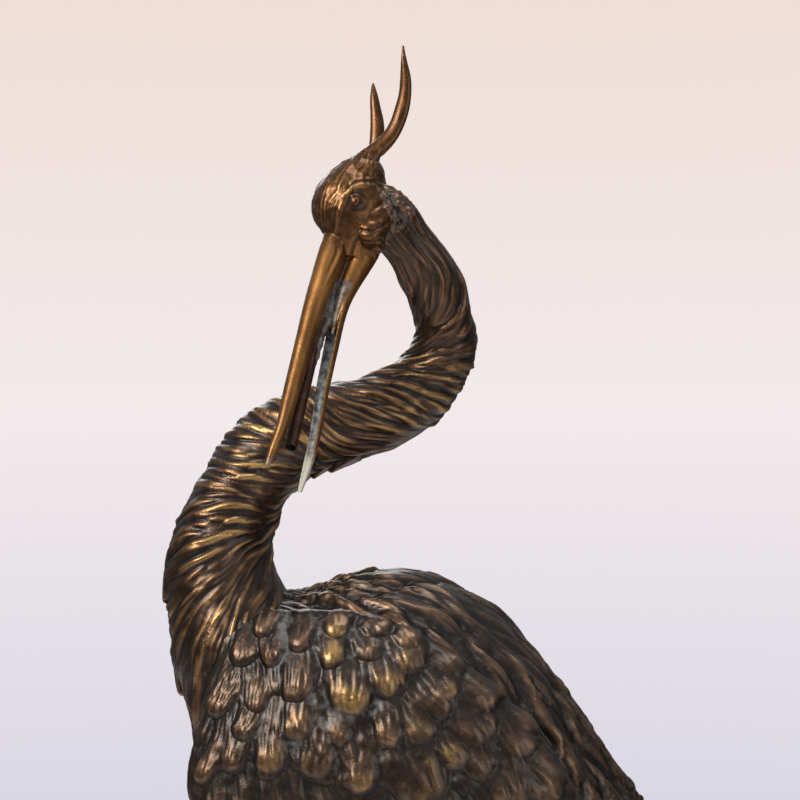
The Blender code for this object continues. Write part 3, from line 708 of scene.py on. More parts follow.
# ------------------------------------------------------------------ wings
# coverts in view: where the tip falls in the frame, width, length in millimetres, and the way it points from straight down (degrees, to the right)
COVERTS = [
    (339, 642, 31, 32, 8), (382, 641, 31, 28, 22), (418, 652, 30, 28, 35), (333, 670, 29, 34, 2), (373, 664, 31, 31, 15), (422, 671, 38, 38, 40),
    (462, 676, 36, 38, 44), (354, 715, 44, 52, 5), (397, 698, 42, 40, 22), (449, 716, 44, 50, 38), (495, 712, 38, 46, 46), (428, 744, 38, 50, 24),
    (489, 744, 44, 50, 36), (532, 758, 40, 50, 42), (486, 779, 36, 46, 20), (361, 794, 40, 70, 4), (315, 779, 38, 62, -4), (266, 772, 36, 62, -14),
    (229, 772, 30, 60, -18), (198, 782, 22, 82, -24), (253, 716, 30, 40, -18), (212, 716, 28, 60, -30), (236, 668, 30, 34, -24), (296, 703, 34, 44, -4),
    (270, 668, 28, 34, -10), (300, 655, 28, 30, 0), (424, 806, 62, 66, 10), (560, 800, 44, 56, 40), (520, 806, 44, 54, 26), (262, 640, 26, 28, -16),
    (456, 700, 26, 30, 40), (296, 742, 30, 44, -6), (392, 748, 34, 46, 10), (340, 748, 30, 40, 2), (462, 770, 30, 40, 26), (240, 742, 28, 40, -16),
    (516, 690, 30, 36, 50), (548, 722, 32, 40, 48),
]


def build_wing(mat):
    loft = Loft(WING, 300, power=0.72)
    L = loft.length
    s_list = np.concatenate([np.arange(0.0, 0.60 * L, 0.0015), np.arange(0.60 * L, L + 1e-6, 0.0030)])
    v = np.linspace(-0.998, 0.998, 196)
    outer = np.arcsin(v)
    inner = np.linspace(outer[-1], outer[0] + 2 * np.pi, 28)[1:-1]
    p_list = np.concatenate([outer, inner])

    def base(P, S, A):
        return 0.0022 * value_noise(P, 0.05, 63) - 0.0015

    skin = Skin(loft, s_list, p_list, base, cell=0.010)
    px, py = pixels(skin.P)
    face = skin.N[:, 0] > 0.05
    idx = np.nonzero(face)[0]

    def over(x, y):
        return idx[np.argmin((px[idx] - x) ** 2 + (py[idx] - y) ** 2)]

    def flow(pt, nor, e1, e2, s, p, u):
        back = np.clip((pt[:, 1] + 0.20) / 0.30, -0.35, 1.25)
        d = np.zeros_like(pt)
        d[:, 1], d[:, 2] = 0.62 * back, -1.0
        a = 0.25 * value_noise(pt, 0.04, 67)
        return d + np.cross(nor, d) * a[:, None]

    # small pads that fill in between the larger ones
    outward = lambda pt, nor, s, p: nor[:, 0] > 0.0
    seeds = spread_seeds(skin, 0.027, (0.0, 0.62 * L), 0.3, keep=outward)
    pts, _ = loft.paths(seeds[:, 0], seeds[:, 1], 0.034, 6, flow)
    for q in pts:
        skin.stamp(q, covert_half(0.0150 * rng.uniform(0.85, 1.15), 6, 0.85), covert_shape(0.0030 * rng.uniform(0.7, 1.2), 0.12, rng.uniform(2.0, 3.0), rng.uniform(0, 6)))
    for x, y, w, ln, deg in COVERTS:
        a = math.radians(deg)
        d = np.array([math.sin(a), math.cos(a)])
        w, ln = w * 1.20, ln * 1.16
        r = w / 2
        tip = np.array([x, y]) - d * r * 0.80
        root = tip - d * (ln - r * 0.3)
        side = np.array([d[1], -d[0]]) * rng.uniform(-0.10, 0.10) * ln
        path = np.array([skin.P[over(*(root + (tip - root) * u + side * math.sin(math.pi * u)))] for u in np.linspace(0, 1, 7)])
        path[1:-1] = (path[:-2] + 2 * path[1:-1] + path[2:]) / 4
        skin.stamp(path, covert_half(r * MM, 7, rng.uniform(0.70, 0.85), 0.65), covert_shape((5.6 + 0.02 * w) * MM * rng.uniform(0.8, 1.2), rng.uniform(0.06, 0.12), rng.uniform(2.6, 3.8), rng.uniform(0, 6)))

    # rows of coverts below and outside the picture
    def keep(pt, nor, s, p):
        x, y = pixels(pt)
        return (nor[:, 0] > 0.0) & ((y > 790) | ((x < 200) & (y > 700)))

    seeds = spread_seeds(skin, 0.033, (0.02, 0.66 * L), 0.25, keep=keep)
    pts, _ = loft.paths(seeds[:, 0], seeds[:, 1], 0.052 + 0.02 * seeds[:, 0] / L, 6, flow)
    for q in pts:
        skin.stamp(q, covert_half(0.0200 * rng.uniform(0.85, 1.15), 6, 0.84, 0.6), covert_shape(0.0056 * rng.uniform(0.85, 1.2), rng.uniform(0.08, 0.15), rng.uniform(2.2, 3.4), rng.uniform(0, 6)))
    # long flight feathers
    tail = lambda pt, nor, s, p: (nor[:, 0] > 0.0) & (s > 0.50 * L)

    def aft(pt, nor, e1, e2, s, p, u):
        return e1 + np.array([0, 0.1, -0.1])

    seeds = spread_seeds(skin, 0.024, (0.52 * L, 0.92 * L), 0.15, keep=tail)
    pts, _ = loft.paths(seeds[:, 0], seeds[:, 1], 0.120, 8, aft)
    for q in pts:
        skin.stamp(q, covert_half(0.0115, 8, 0.7, 0.7), covert_shape(0.0050, 0.12, 3.4, 0.0, 0.25))
    # short strokes over the shoulder rim
    rim = lambda pt, nor, s, p: (np.sin(p) < -0.80) & (s < 0.55 * L) & (np.cos(p) > -0.3)
    seeds = spread_seeds(skin, 0.009, (0.01, 0.55 * L), 0.4, keep=rim)
    lay_locks(skin, seeds, flow, 0.030, 0.0022, 0.0022, 6, 0.0, 0.4)
    # barbs over everything
    n_mid, n_fine = combed(skin, flow, 0.022, (0.0060, 0.0028), 7, 400)
    skin.H += 0.00040 * n_mid + 0.00022 * n_fine
    P = skin.P
    skin.H += 0.0006 * value_noise(P, 0.009, 71)
    gold_and_highlight = 0.16 + 0.24 * value_noise(P, 0.06, 61)
    dust = 0.20 + 0.15 * value_noise(P, 0.03, 65)
    dust = dust + 0.30 * np.exp(-((px - 286) / 13) ** 2 - ((py - 640) / 42) ** 2) + 0.12 * np.exp(-((px - 320) / 80) ** 2 - ((py - 710) / 60) ** 2)
    # painted highlights: gold patches on the tips of coverts that catch the light from above
    for cx, cy, g in ((338, 640, 0.5), (338, 672, 0.45), (354, 700, 0.5), (392, 688, 0.35), (440, 748, 0.6), (372, 792, 0.5), (428, 798, 0.65), (466, 702, 0.4), (400, 655, 0.3), (300, 700, 0.25), (462, 668, 0.3), (268, 775, 0.35)):
        gold_and_highlight = gold_and_highlight + g * np.exp(-((px - cx) / 15) ** 2 - ((py - cy) / 17) ** 2)
    near = skin_object("wing_left", skin, mat, gold_and_highlight, dust, 0.0022, r=(8, 6))
    # the right wing is the same carving mirrored, at a coarser grain
    n, m = skin.dims
    V = (skin.P + skin.N * skin.H[:, None]).reshape(n, m, 3)
    rid = np.clip(skin.ridge(8, 6) / 0.0022, -1, 1).reshape(n, m)
    rows = np.arange(0, n, 2) if n % 2 else np.append(np.arange(0, n, 2), n - 1)
    V, rid = V[rows][:, ::1], rid[rows]
    g, d2 = gold_and_highlight.reshape(n, m)[rows], (0.2 + 0.15 * value_noise(P, 0.03, 66)).reshape(n, m)[rows]
    n2 = len(rows)
    i = np.arange(n2 - 1)[:, None] * m
    j = np.arange(m)[None]
    a, b = (i + j).ravel(), (i + (j + 1) % m).ravel()
    F = np.array([a, b, b + m, a + m]).T
    Vm = V.reshape(-1, 3) * np.array([-1, 1, 1])
    gn = grid_normals(Vm, (n2, m), True)
    if np.sum(gn * (skin.N.reshape(n, m, 3)[rows].reshape(-1, 3) * np.array([-1, 1, 1]))) > 0:
        F = F[:, ::-1]
    far = mesh_object("wing_right", Vm, F, mat, {"ridge": rid.ravel(), "gold_and_highlight": np.clip(g.ravel(), 0, 1), "dust": np.clip(d2.ravel(), 0, 1)})
    return near, far


# ------------------------------------------------------------------ head, bill and crest
LEFT = np.array(HEAD_LEFT) / np.linalg.norm(HEAD_LEFT)
HEAD_O = np.array([47, -67, 1348]) * MM


def across(pt):
    """The same place on the other side of the head."""
    pt = np.asarray(pt, float)
    return pt - 2 * ((pt - HEAD_O) @ LEFT)[..., None] * LEFT


def tube_grid(loft, ns, np_, power=1.0):
    s, p = np.linspace(0, loft.length, ns), np.linspace(0, 2 * np.pi, np_, endpoint=False)
    S, A = np.meshgrid(s, p, indexing="ij")
    V = loft.raw(S.ravel(), A.ravel())
    i, j = np.arange(ns - 1)[:, None] * np_, np.arange(np_)[None]
    a, b = (i + j).ravel(), (i + (j + 1) % np_).ravel()
    F = [tuple(q) for q in np.array([a, b, b + np_, a + np_]).T.tolist()]
    F += [tuple(range(np_ - 1, -1, -1)), tuple(range((ns - 1) * np_, ns * np_))]
    return V, F


def gutter(rows, open_dir, wall, span=205, ns=70, m=22):
    """A half pipe along a spine, open towards open_dir: the shape of a hollow mandible."""
    loft = Loft(rows, 120)
    D = np.array(open_dir) / np.linalg.norm(open_dir)
    V, F = [], []
    half = math.radians(span) / 2
    for s in np.linspace(0, loft.length, ns):
        c, t = (np.array([np.interp(s, loft.s, a[:, k]) for k in range(3)]) for a in (loft.c, loft.t))
        ra, rb = np.interp(s, loft.s, loft.ra), np.interp(s, loft.s, loft.rb)
        o = -(D - (D @ t) * t)
        o /= np.linalg.norm(o)
        q = np.cross(t, o)
        w = min(wall, 0.45 * min(ra, rb))
        ring = []
        for a in np.linspace(-half, half, m):
            ring.append(c + o * rb * math.cos(a) + q * ra * math.sin(a))
        for a in np.linspace(half, -half, m):
            ring.append(c + o * (rb - w) * math.cos(a) + q * (ra - w) * math.sin(a))
        V += ring
    k = 2 * m
    for i in range(ns - 1):
        for j in range(k):
            a, b = i * k + j, i * k + (j + 1) % k
            F.append((a, b, b + k, a + k))
    F += [tuple(range(k - 1, -1, -1)), tuple(range((ns - 1) * k, ns * k))]
    return np.array(V), F


def fused(parts, voxel, name="fused"):
    """Closed shapes made one skin: points, quads and outward normals."""
    V, F = [], []
    n = 0
    for v, f in parts:
        V += [tuple(x) for x in v]
        F += [tuple(i + n for i in q) for q in f]
        n += len(v)
    me = bpy.data.meshes.new(name)
    me.from_pydata(V, [], F)
    import bmesh
    bm = bmesh.new()
    bm.from_mesh(me)
    bmesh.ops.recalc_face_normals(bm, faces=bm.faces)
    bm.to_mesh(me)
    bm.free()
    ob = bpy.data.objects.new(name, me)
    bpy.context.scene.collection.objects.link(ob)
    rm = ob.modifiers.new("r", "REMESH")
    rm.mode, rm.voxel_size, rm.adaptivity = "VOXEL", voxel, 0.0
    sm = ob.modifiers.new("s", "SMOOTH")
    sm.factor, sm.iterations = 0.5, 4
    bpy.context.view_layer.update()
    out = bpy.data.meshes.new_from_object(ob.evaluated_get(bpy.context.evaluated_depsgraph_get()))
    bpy.data.objects.remove(ob)
    P = np.empty(len(out.vertices) * 3, np.float32)
    out.vertices.foreach_get("co", P)
    N = np.empty(len(out.vertices) * 3, np.float32)
    out.vertex_normals.foreach_get("vector", N)
    q = np.array([p.vertices[:] for p in out.polygons if len(p.vertices) == 4], np.int64)
    bpy.data.meshes.remove(out)
    return P.reshape(-1, 3).astype(float), N.reshape(-1, 3).astype(float), q


def neighbour_mean(A, edges, n, rounds):
    for _ in range(rounds):
        s = np.bincount(edges[:, 0], A[edges[:, 1]], n) + np.bincount(edges[:, 1], A[edges[:, 0]], n)
        c = np.bincount(edges[:, 0], minlength=n) + np.bincount(edges[:, 1], minlength=n)
        A = s / np.maximum(c, 1)
    return A


def stroke(px, py, pts, half, h, tip=0.35, n=26):
    """A soft ridge (or, with h below nought, a groove) along a curve of the picture plane."""
    pts = np.array(pts, float)
    k = np.linspace(0, 1, len(pts))
    q = natural_cubic(k, pts, np.linspace(0, 1, n)) if len(pts) > 2 else pts[0] + (pts[1] - pts[0]) * np.linspace(0, 1, n)[:, None]
    best, u = np.full(len(px), 1e9), np.zeros(len(px))
    for i in range(n - 1):
        a, d = q[i], q[i + 1] - q[i]
        t = np.clip(((px - a[0]) * d[0] + (py - a[1]) * d[1]) / (d @ d + 1e-9), 0, 1)
        w = (px - a[0] - t * d[0]) ** 2 + (py - a[1] - t * d[1]) ** 2
        m = w < best
        best[m], u[m] = w[m], (i + t[m]) / (n - 1)
    env = np.sin(np.pi * np.clip(u, 0.02, 0.98)) ** 0.6
    v = best / (half * (tip + (1 - tip) * env)) ** 2
    return h * MM * np.clip(1 - v, 0, 1) ** 1.3 * (0.4 + 0.6 * env)


def build_head(mat):
    def lump(rows):
        return tube_grid(Loft(rows, 60, ref=HEAD_LEFT), 40, 40)

    def wider(rows, k):
        return [(x, y, z, w, h * (1 + k * math.sin(math.pi * i / (len(rows) - 1)))) for i, (x, y, z, w, h) in enumerate(rows)]

    # the trough faces the upper mandible and is turned out towards the left side of the head
    low = gutter([(x, y, z, w * k, h * k) for (x, y, z, w, h), k in zip(LOWER_BILL[2:], (1, 1, 1, 1.03, 1.08, 1.18, 1.3, 1.7))], (0.62, -0.78, -0.05), 0.0024)
    gape = [(x, y, z, w * 0.98, h * 0.98) for x, y, z, w, h in LOWER_BILL[:4]] + [(66.5, -74.5, 1256, 8.6, 7.4), (72, -79.6, 1240, 6.2, 5.0), (78, -84, 1222, 2, 2)]
    web = [(46, -66, 1306, 9, 10), (52, -72, 1288, 8, 8.5), (60, -79, 1266, 6.5, 7), (68, -86.5, 1245, 4.9, 5.8), (76, -94, 1224, 3.6, 4.2), (82, -98, 1207, 2.6, 3), (86, -100.5, 1193, 1, 1.2)]
    blunt = [(x, y, z, w * k, h * k) for (x, y, z, w, h), k in zip(UPPER_BILL, (1, 1, 1, 1.02, 1.06, 1.14, 1.22, 1.4, 2.0))]
    parts = [lump(SKULL), lump(gape), lump(web), low, lump(blunt), lump(wider(NEAR_PLUME, 0.42)), lump(wider(FAR_PLUME, 0.36))]
    eye_px = (356.0, 201.0)

    def sphere(c, r, n=20):
        V, F = [], []
        for i in range(1, n):
            for j in range(2 * n):
                a, b = math.pi * i / n, math.pi * j / n
                V.append((c[0] + r * math.sin(a) * math.cos(b), c[1] + r * math.sin(a) * math.sin(b), c[2] + r * math.cos(a)))
        m = 2 * n
        V += [(c[0], c[1], c[2] + r), (c[0], c[1], c[2] - r)]
        for i in range(n - 2):
            for j in range(m):
                F.append((i * m + j, i * m + (j + 1) % m, (i + 1) * m + (j + 1) % m, (i + 1) * m + j))
        t, b = len(V) - 2, len(V) - 1
        for j in range(m):
            F.append((t, (j + 1) % m, j))
            F.append((b, (n - 2) * m + j, (n - 2) * m + (j + 1) % m))
        return np.array(V), F

    # cheek, brow and crown masses
    for px_, py_, x, r in ((372, 222, 55, 22), (345, 232, 58, 15), (364, 176, 50, 20), (372, 240, 52, 15)):
        s = (1700 - x) / 1700
        v, f = sphere(np.array([x, -20 + (px_ - 400) * s, 1160 + (400 - py_) * s]) * MM, r * MM)
        parts.append((v, f))
        parts.append((across(v), f))
    P, N, Q = fused(parts, 0.00101)
    n = len(P)
    # every point's place in the picture, the far side of the head folded over to the near one
    side = (P - HEAD_O) @ LEFT
    fold = np.where((side < 0)[:, None], across(P), P)
    px, py = pixels(fold)
    facing = smooth01((np.abs(N @ LEFT) - 0.10) / 0.45)
    skull = P[:, 2] > 1.296
    H = np.zeros(n)

    def line(pts, half, h, tip=0.35):
        m = skull & (facing > 0)
        H[m] += stroke(px[m], py[m], pts, half, h, tip) * facing[m]

    # eye: a ball between two lids in a shallow socket
    ex, ey = px - eye_px[0], (py - eye_px[1]) * 1.12
    er = np.hypot(ex, ey)
    on = facing * (side != 0) * skull
    H += on * MM * (-1.3 * np.exp(-((er - 8.0) / 4.2) ** 2) + 1.5 * np.sqrt(np.clip(1 - (er / 4.6) ** 2, 0, 1)) - 0.5 * np.exp(-(er / 1.3) ** 2))
    line([(347.5, 204), (350.5, 197.5), (356, 194.8), (361.5, 197), (365.5, 201)], 1.4, 1.3)
    line([(347.5, 205), (351, 207.6), (356.5, 208), (362, 205.8), (365.5, 201)], 1.2, 1.0)
    line([(345, 206), (351, 212.4), (358, 213.6), (365, 210)], 1.1, 0.7)
    line([(346, 199), (351, 191.6), (358, 189.4), (366, 192)], 1.1, -0.7)
    # brow
    line([(374, 185), (364, 185), (354, 188), (346, 195), (341, 206), (337, 220), (335, 232)], 4.4, 1.5)
    line([(374, 180), (362, 179), (351, 182), (343, 189), (337, 200), (332, 216)], 2.6, 0.6)
    # folds of the cheek and the corner of the mouth
    for q, w, h in (([(352, 220), (364, 226), (380, 220), (393, 210)], 4.4, 0.7), ([(354, 231), (368, 236), (384, 229), (397, 220)], 4.0, 0.7),
                    ([(366, 216), (378, 210), (388, 200)], 3.0, 0.7), ([(362, 245), (374, 248), (388, 241)], 3.4, 0.6),
                    ([(354, 225.5), (369, 231), (386, 224)], 1.5, -0.7), ([(357, 239), (371, 242), (388, 235)], 1.4, -0.6),
                    ([(358, 236), (353, 247), (348, 262), (341, 280)], 1.8, -2.0, ), ([(364, 244), (360, 260), (354, 280)], 2.0, -0.6), ([(374, 246), (367, 262), (357, 284)], 2.0, -0.5)):
        line(q, w, h)
    # plumes of the crown, drawn out from the bill to the crest like meridians
    s = (1700 - 60) / 1700
    B = np.array([55, -20 + (326 - 400) * s, 1160 + (400 - 246) * s]) * MM
    C = np.array([52, -20 + (366 - 400) * s, 1160 + (400 - 150) * s]) * MM
    ax = (C - B) / np.linalg.norm(C - B)
    e1 = LEFT - (LEFT @ ax) * ax
    e1 /= np.linalg.norm(e1)
    e2 = np.cross(ax, e1)
    rel = P - B
    z = rel @ ax
    rad = np.hypot(rel @ e1, rel @ e2)
    phi = np.arctan2(rel @ e2, rel @ e1) + 0.16 * value_noise(P, 0.016, 301) + 0.05 * value_noise(P, 0.007, 302)
    crown = smooth01((1.0 - ((px - 340) * 0.55 + (py - 196) * 0.75) / 14.0) / 0.9) * skull * (P[:, 2] > 1.312)
    crown = crown * (1 - smooth01((P[:, 2] - 1.392) / 0.02))
    band = np.stack([np.cos(phi) * 0.030, np.sin(phi) * 0.030, z * 0.10], 1)
    c1, c2, c3 = (value_noise(band, q, 310 + i) for i, q in enumerate((0.0052, 0.0026, 0.0013)))
    H += crown * MM * (1.1 * np.abs(c1) ** 0.8 + 0.9 * np.abs(c2) ** 0.8 + 0.4 * c3 - 0.7)
    # nostril with its raised rim, and the groove along the bill
    bl = (P[:, 2] > 1.20) & (facing > 0)

    def bline(pts, half, h):
        H[bl] += stroke(px[bl], py[bl], pts, half, h) * facing[bl]

    bline([(333, 241), (338, 238.5), (342, 243), (341, 252), (335, 266), (327, 281), (321, 290)], 1.6, 1.0)
    bline([(336, 244), (337, 251), (332, 263), (326, 275)], 1.7, -1.8)
    bline([(318, 296), (309, 330), (299, 365), (290, 400)], 1.2, -0.35)
    # weathered pitting, and the rough ruff where the plumes of the neck begin
    blade = smooth01((1.320 - P[:, 2] - (P[:, 1] + 0.080) * 0.15) / 0.026)
    soft = (1 - blade) * (P[:, 2] < 1.400)
    H += soft * (0.00035 * value_noise(P, 0.005, 81) + 0.00016 * value_noise(P, 0.0022, 82))
    ruff = np.zeros(n)
    ring = np.array([(380, 172), (388, 186), (394, 200), (402, 214), (399, 228), (391, 242), (383, 255)], float)
    d = np.min(np.hypot(px[:, None] - np.repeat(ring, 1, 0)[None, :, 0], py[:, None] - ring[None, :, 1]), axis=1)
    ruff = np.maximum(smooth01((17 - d) / 12), smooth01((px - 386) / 8)) * skull * (1 - smooth01((P[:, 2] - 1.372) / 0.014))
    w1, w2 = value_noise(P, 0.0052, 321), value_noise(P, 0.0026, 322)
    H += ruff * MM * (2.2 * np.abs(w1) ** 0.7 + 1.6 * np.abs(w2) ** 0.8 - 0.9)
    bill = blade * (P[:, 2] < 1.345)
    E = np.concatenate([Q[:, [0, 1]], Q[:, [1, 2]], Q[:, [2, 3]], Q[:, [3, 0]]])
    E = np.unique(np.sort(E, axis=1), axis=0)
    H = neighbour_mean(H, E, n, 1)
    mean = neighbour_mean(H, E, n, 12)
    ridge = np.clip((H - mean) / 0.00055, -1, 1)
    # painted highlights: gold patches on the brow and the crown where they catch the light, over a random tone of
    # rubbed metal
    gold_and_highlight = 0.22 + 0.2 * value_noise(P, 0.02, 83) + 0.45 * np.exp(-((px - 350) / 9) ** 2 - ((py - 189) / 8) ** 2) + 0.30 * np.exp(-((px - 330) / 14) ** 2 - ((py - 195) / 26) ** 2) + 0.35 * np.exp(-((px - 378) / 10) ** 2 - ((py - 190) / 12) ** 2) * 0.6
    gold_and_highlight = gold_and_highlight - 0.9 * np.exp(-(er / 9) ** 2)
    ridge = np.clip(ridge - 0.75 * np.exp(-(er / 8.5) ** 2) * skull - 0.45 * np.exp(-((px - 350) / 7) ** 2 - ((py - 216) / 8) ** 2) * skull, -1, 1)
    dust = 0.05 + ruff * 0.40
    # weathered inside of the lower mandible, pale worn tips
    lowc = Loft(LOWER_BILL, 200)
    dd, at = np.full(n, 1e9), np.zeros(n)
    for i in range(0, 200, 2):
        q = np.sum((P - lowc.c[i]) ** 2, axis=1)
        m = q < dd
        dd[m], at[m] = q[m], i
    inlow = (np.sqrt(dd) < np.interp(at, np.arange(200), lowc.ra) * 1.5 + 0.001) & (P[:, 2] < 1.275)
    towards = np.array([0.62, -0.78, -0.05])
    towards /= np.linalg.norm(towards)
    off = P - lowc.c[at.astype(int)]
    inner = inlow & (np.sum(N * off, axis=1) < 0.0)
    grey = inner * 1.0 + (inlow & ((off @ towards) > 0.3 * np.linalg.norm(off, axis=1))) * 0.6
    webc = Loft(web, 60)
    wd = np.min(np.stack([np.linalg.norm(P - c, axis=1) - r for c, r in zip(webc.c[::3], webc.ra[::3])]), axis=0)
    inside = (wd < 0.0022) & (P[:, 2] < 1.312)
    H += np.where(inside, 0.0012 * value_noise(P, 0.004, 331), 0)
    grey = np.where(inside, 0.55 + 0.4 * value_noise(P, 0.006, 332), grey)
    grey = np.clip(neighbour_mean(np.clip(grey, 0, 1), E, n, 2), 0, 1)
    pale = smooth01((1.118 - P[:, 2]) / 0.022) * (P[:, 2] < 1.125) * inlow + smooth01((1.110 - P[:, 2]) / 0.012) * (~inlow) * 0.5
    V = P + N * H[:, None]
    return mesh_object("head", V, Q, mat, {"ridge": ridge, "gold_and_highlight": np.clip(gold_and_highlight, 0, 1), "dust": np.clip(dust, 0, 1), "bill": bill * (1 - grey), "grey": grey, "pale": pale})


def head_bronze():
    m = bronze("bronze_head", 0.92, 0.25, [
        (0.10, (0.034, 0.0155, 0.0070)), (0.34, (0.082, 0.036, 0.0135)), (0.56, (0.145, 0.063, 0.0215)),
        (0.76, (0.205, 0.093, 0.031)), (0.98, (0.29, 0.142, 0.050)),
    ])
    nt = m.node_tree
    b = nt.nodes["Principled BSDF"]
    co = new(nt, "ShaderNodeTexCoord").outputs["Object"]
    col = b.inputs["Base Color"].links[0].from_socket
    rough = b.inputs["Roughness"].links[0].from_socket
    met = b.inputs["Metallic"].links[0].from_socket
    bill, grey, pale, ridge = attr(nt, "bill"), attr(nt, "grey"), attr(nt, "pale"), attr(nt, "ridge")
    streak = new(nt, "ShaderNodeMapping")
    streak.inputs["Scale"].default_value = (90, 90, 9)
    link(nt, co, streak.inputs["Vector"])
    n1 = noise(nt, 1.0, 4, 0.6, streak.outputs["Vector"])
    n2 = noise(nt, 160.0, 4, 0.6, co)
    smoothbill = mix(nt, remap(nt, math_node(nt, "ADD", n1, math_node(nt, "MULTIPLY", ridge, 0.25)), 0.3, 0.8), (0.175, 0.074, 0.019), (0.37, 0.172, 0.046))
    col = mix(nt, math_node(nt, "MULTIPLY", bill, 0.92), col, smoothbill)
    weather = mix(nt, remap(nt, n2, 0.35, 0.68), (0.055, 0.055, 0.050), (0.30, 0.31, 0.29))
    col = mix(nt, grey, col, weather)
    col = mix(nt, math_node(nt, "MULTIPLY", pale, remap(nt, n2, 0.2, 0.5, 0.55, 1.0)), col, (0.50, 0.47, 0.36))
    link(nt, col, b.inputs["Base Color"])
    g = math_node(nt, "MAXIMUM", grey, pale)
    link(nt, math_node(nt, "MULTIPLY", met, math_node(nt, "SUBTRACT", 1.0, math_node(nt, "MULTIPLY", g, 0.75))), b.inputs["Metallic"])
    link(nt, math_node(nt, "ADD", rough, math_node(nt, "ADD", math_node(nt, "MULTIPLY", g, 0.18), math_node(nt, "MULTIPLY", bill, 0.07))), b.inputs["Roughness"])
    return m


# ------------------------------------------------------------------ legs, tail, pipe and base
def build_leg(side, mat):
    rows = [(x, y, z, r, r) for x, y, z, r in LEGS[side]]
    loft = Loft(rows, 200)
    L = loft.length
    s = np.linspace(0, L, 220)
    p = np.linspace(0, 2 * np.pi, 34, endpoint=False)
    skin = Skin(loft, s, p, None, cell=0.008)
    bare = smooth01((0.405 - skin.P[:, 2]) / 0.03)
    ring = 0.5 + 0.5 * np.cos(2 * np.pi * skin.P[:, 2] / 0.0075)
    front = smooth01((-np.sin(skin.A) * 1.0 + 0.3) / 0.8)
    skin.H += bare * (0.0009 * (ring ** 0.6 - 0.6) * front + 0.0006 * value_noise(skin.P, 0.006, 91) * (1 - front * 0.6))
    down = lambda pt, nor, e1, e2, s, p, u: e1 + e2 * 0.12
    thigh = lambda pt, nor, s, p: pt[:, 2] > 0.40
    seeds = spread_seeds(skin, 0.017, (0.0, L), 0.3, keep=thigh)
    pts, _ = loft.paths(seeds[:, 0], seeds[:, 1], 0.040, 6, down)
    for q in pts:
        skin.stamp(q, lock_half(0.006 * rng.uniform(0.7, 1.2), 6, 0.3), lock_shape(0.0034, 0.2, rng.uniform(0, 6)))
    one = np.ones(len(skin.P))
    obs = [skin_object("leg_%s" % ("left" if side > 0 else "right"), skin, mat, 0.25 * one, 0.2 * one, 0.0009, r=(3, 3))]
    x, y, z, r = LEGS[side][-1]
    for i, (deg, length) in enumerate(TOES):
        a = math.radians(deg) + 0.10 * side
        rows = []
        for k in range(15):
            u = k / 14
            rad = (8.6 - 4.4 * u) * (1 + 0.12 * math.cos(2 * math.pi * 3.2 * u)) if u < 0.80 else 4.6 * (1 - u) / 0.20 + 0.5
            zz = BASE_HEIGHT * 1000 + max(rad, 2.2) * 0.93 + (z - BASE_HEIGHT * 1000 - 8) * max(0, 1 - u * 4) * 0.6 + 0.5
            rows.append((x + math.sin(a) * length * u, y - math.cos(a) * length * u, zz, rad, rad * 0.93))
        t = Loft(rows, 100, ref=(math.cos(a), math.sin(a), 0))
        sk = Skin(t, np.linspace(0, t.length, 60), np.linspace(0, 2 * np.pi, 16, endpoint=False), None)
        top = smooth01((sk.N[:, 2] + 0.2) / 0.8)
        u = sk.S / t.length
        sk.H += 0.0006 * top * (np.abs(np.cos(np.pi * u * length / 4.5)) ** 0.5 - 0.7) * (u < 0.8)
        one = np.ones(len(sk.P))
        obs.append(skin_object("toe_%s_%d" % ("left" if side > 0 else "right", i + 1), sk, mat, 0.3 * one, 0.2 * one, 0.0006, r=(2, 2)))
    return obs


def build_vane(name, root, tip, width, thick, bow, mat):
    root, tip = np.array(root, float), np.array(tip, float)
    rows = []
    for i in range(14):
        u = i / 13
        c = root + (tip - root) * u + np.array([bow * math.sin(math.pi * u), 0, 0])
        w = width / 2 * min(1, 0.45 + 1.4 * u) * math.sqrt(max(0.03, 1 - max(0, (u - 0.72) / 0.28) ** 2))
        rows.append((*c, w, thick / 2 * (1 - 0.5 * u)))
    t = Loft(rows, 120, ref=(1, 0, 0))
    sk = Skin(t, np.linspace(0, t.length, 84), np.linspace(0, 2 * np.pi, 20, endpoint=False), None)
    wv = np.cos(sk.A)
    barb = 0.5 + 0.5 * np.cos(2 * np.pi * (sk.S / 0.0095 + np.abs(wv) * 1.6))
    sk.H += 0.0008 * barb * np.clip(1 - wv ** 6, 0, 1) * (np.abs(wv) > 0.09) + 0.0017 * np.exp(-(wv / 0.08) ** 2)
    one = np.ones(len(sk.P))
    return skin_object(name, sk, mat, 0.25 * one, 0.2 * one, 0.0007, r=(2, 2))


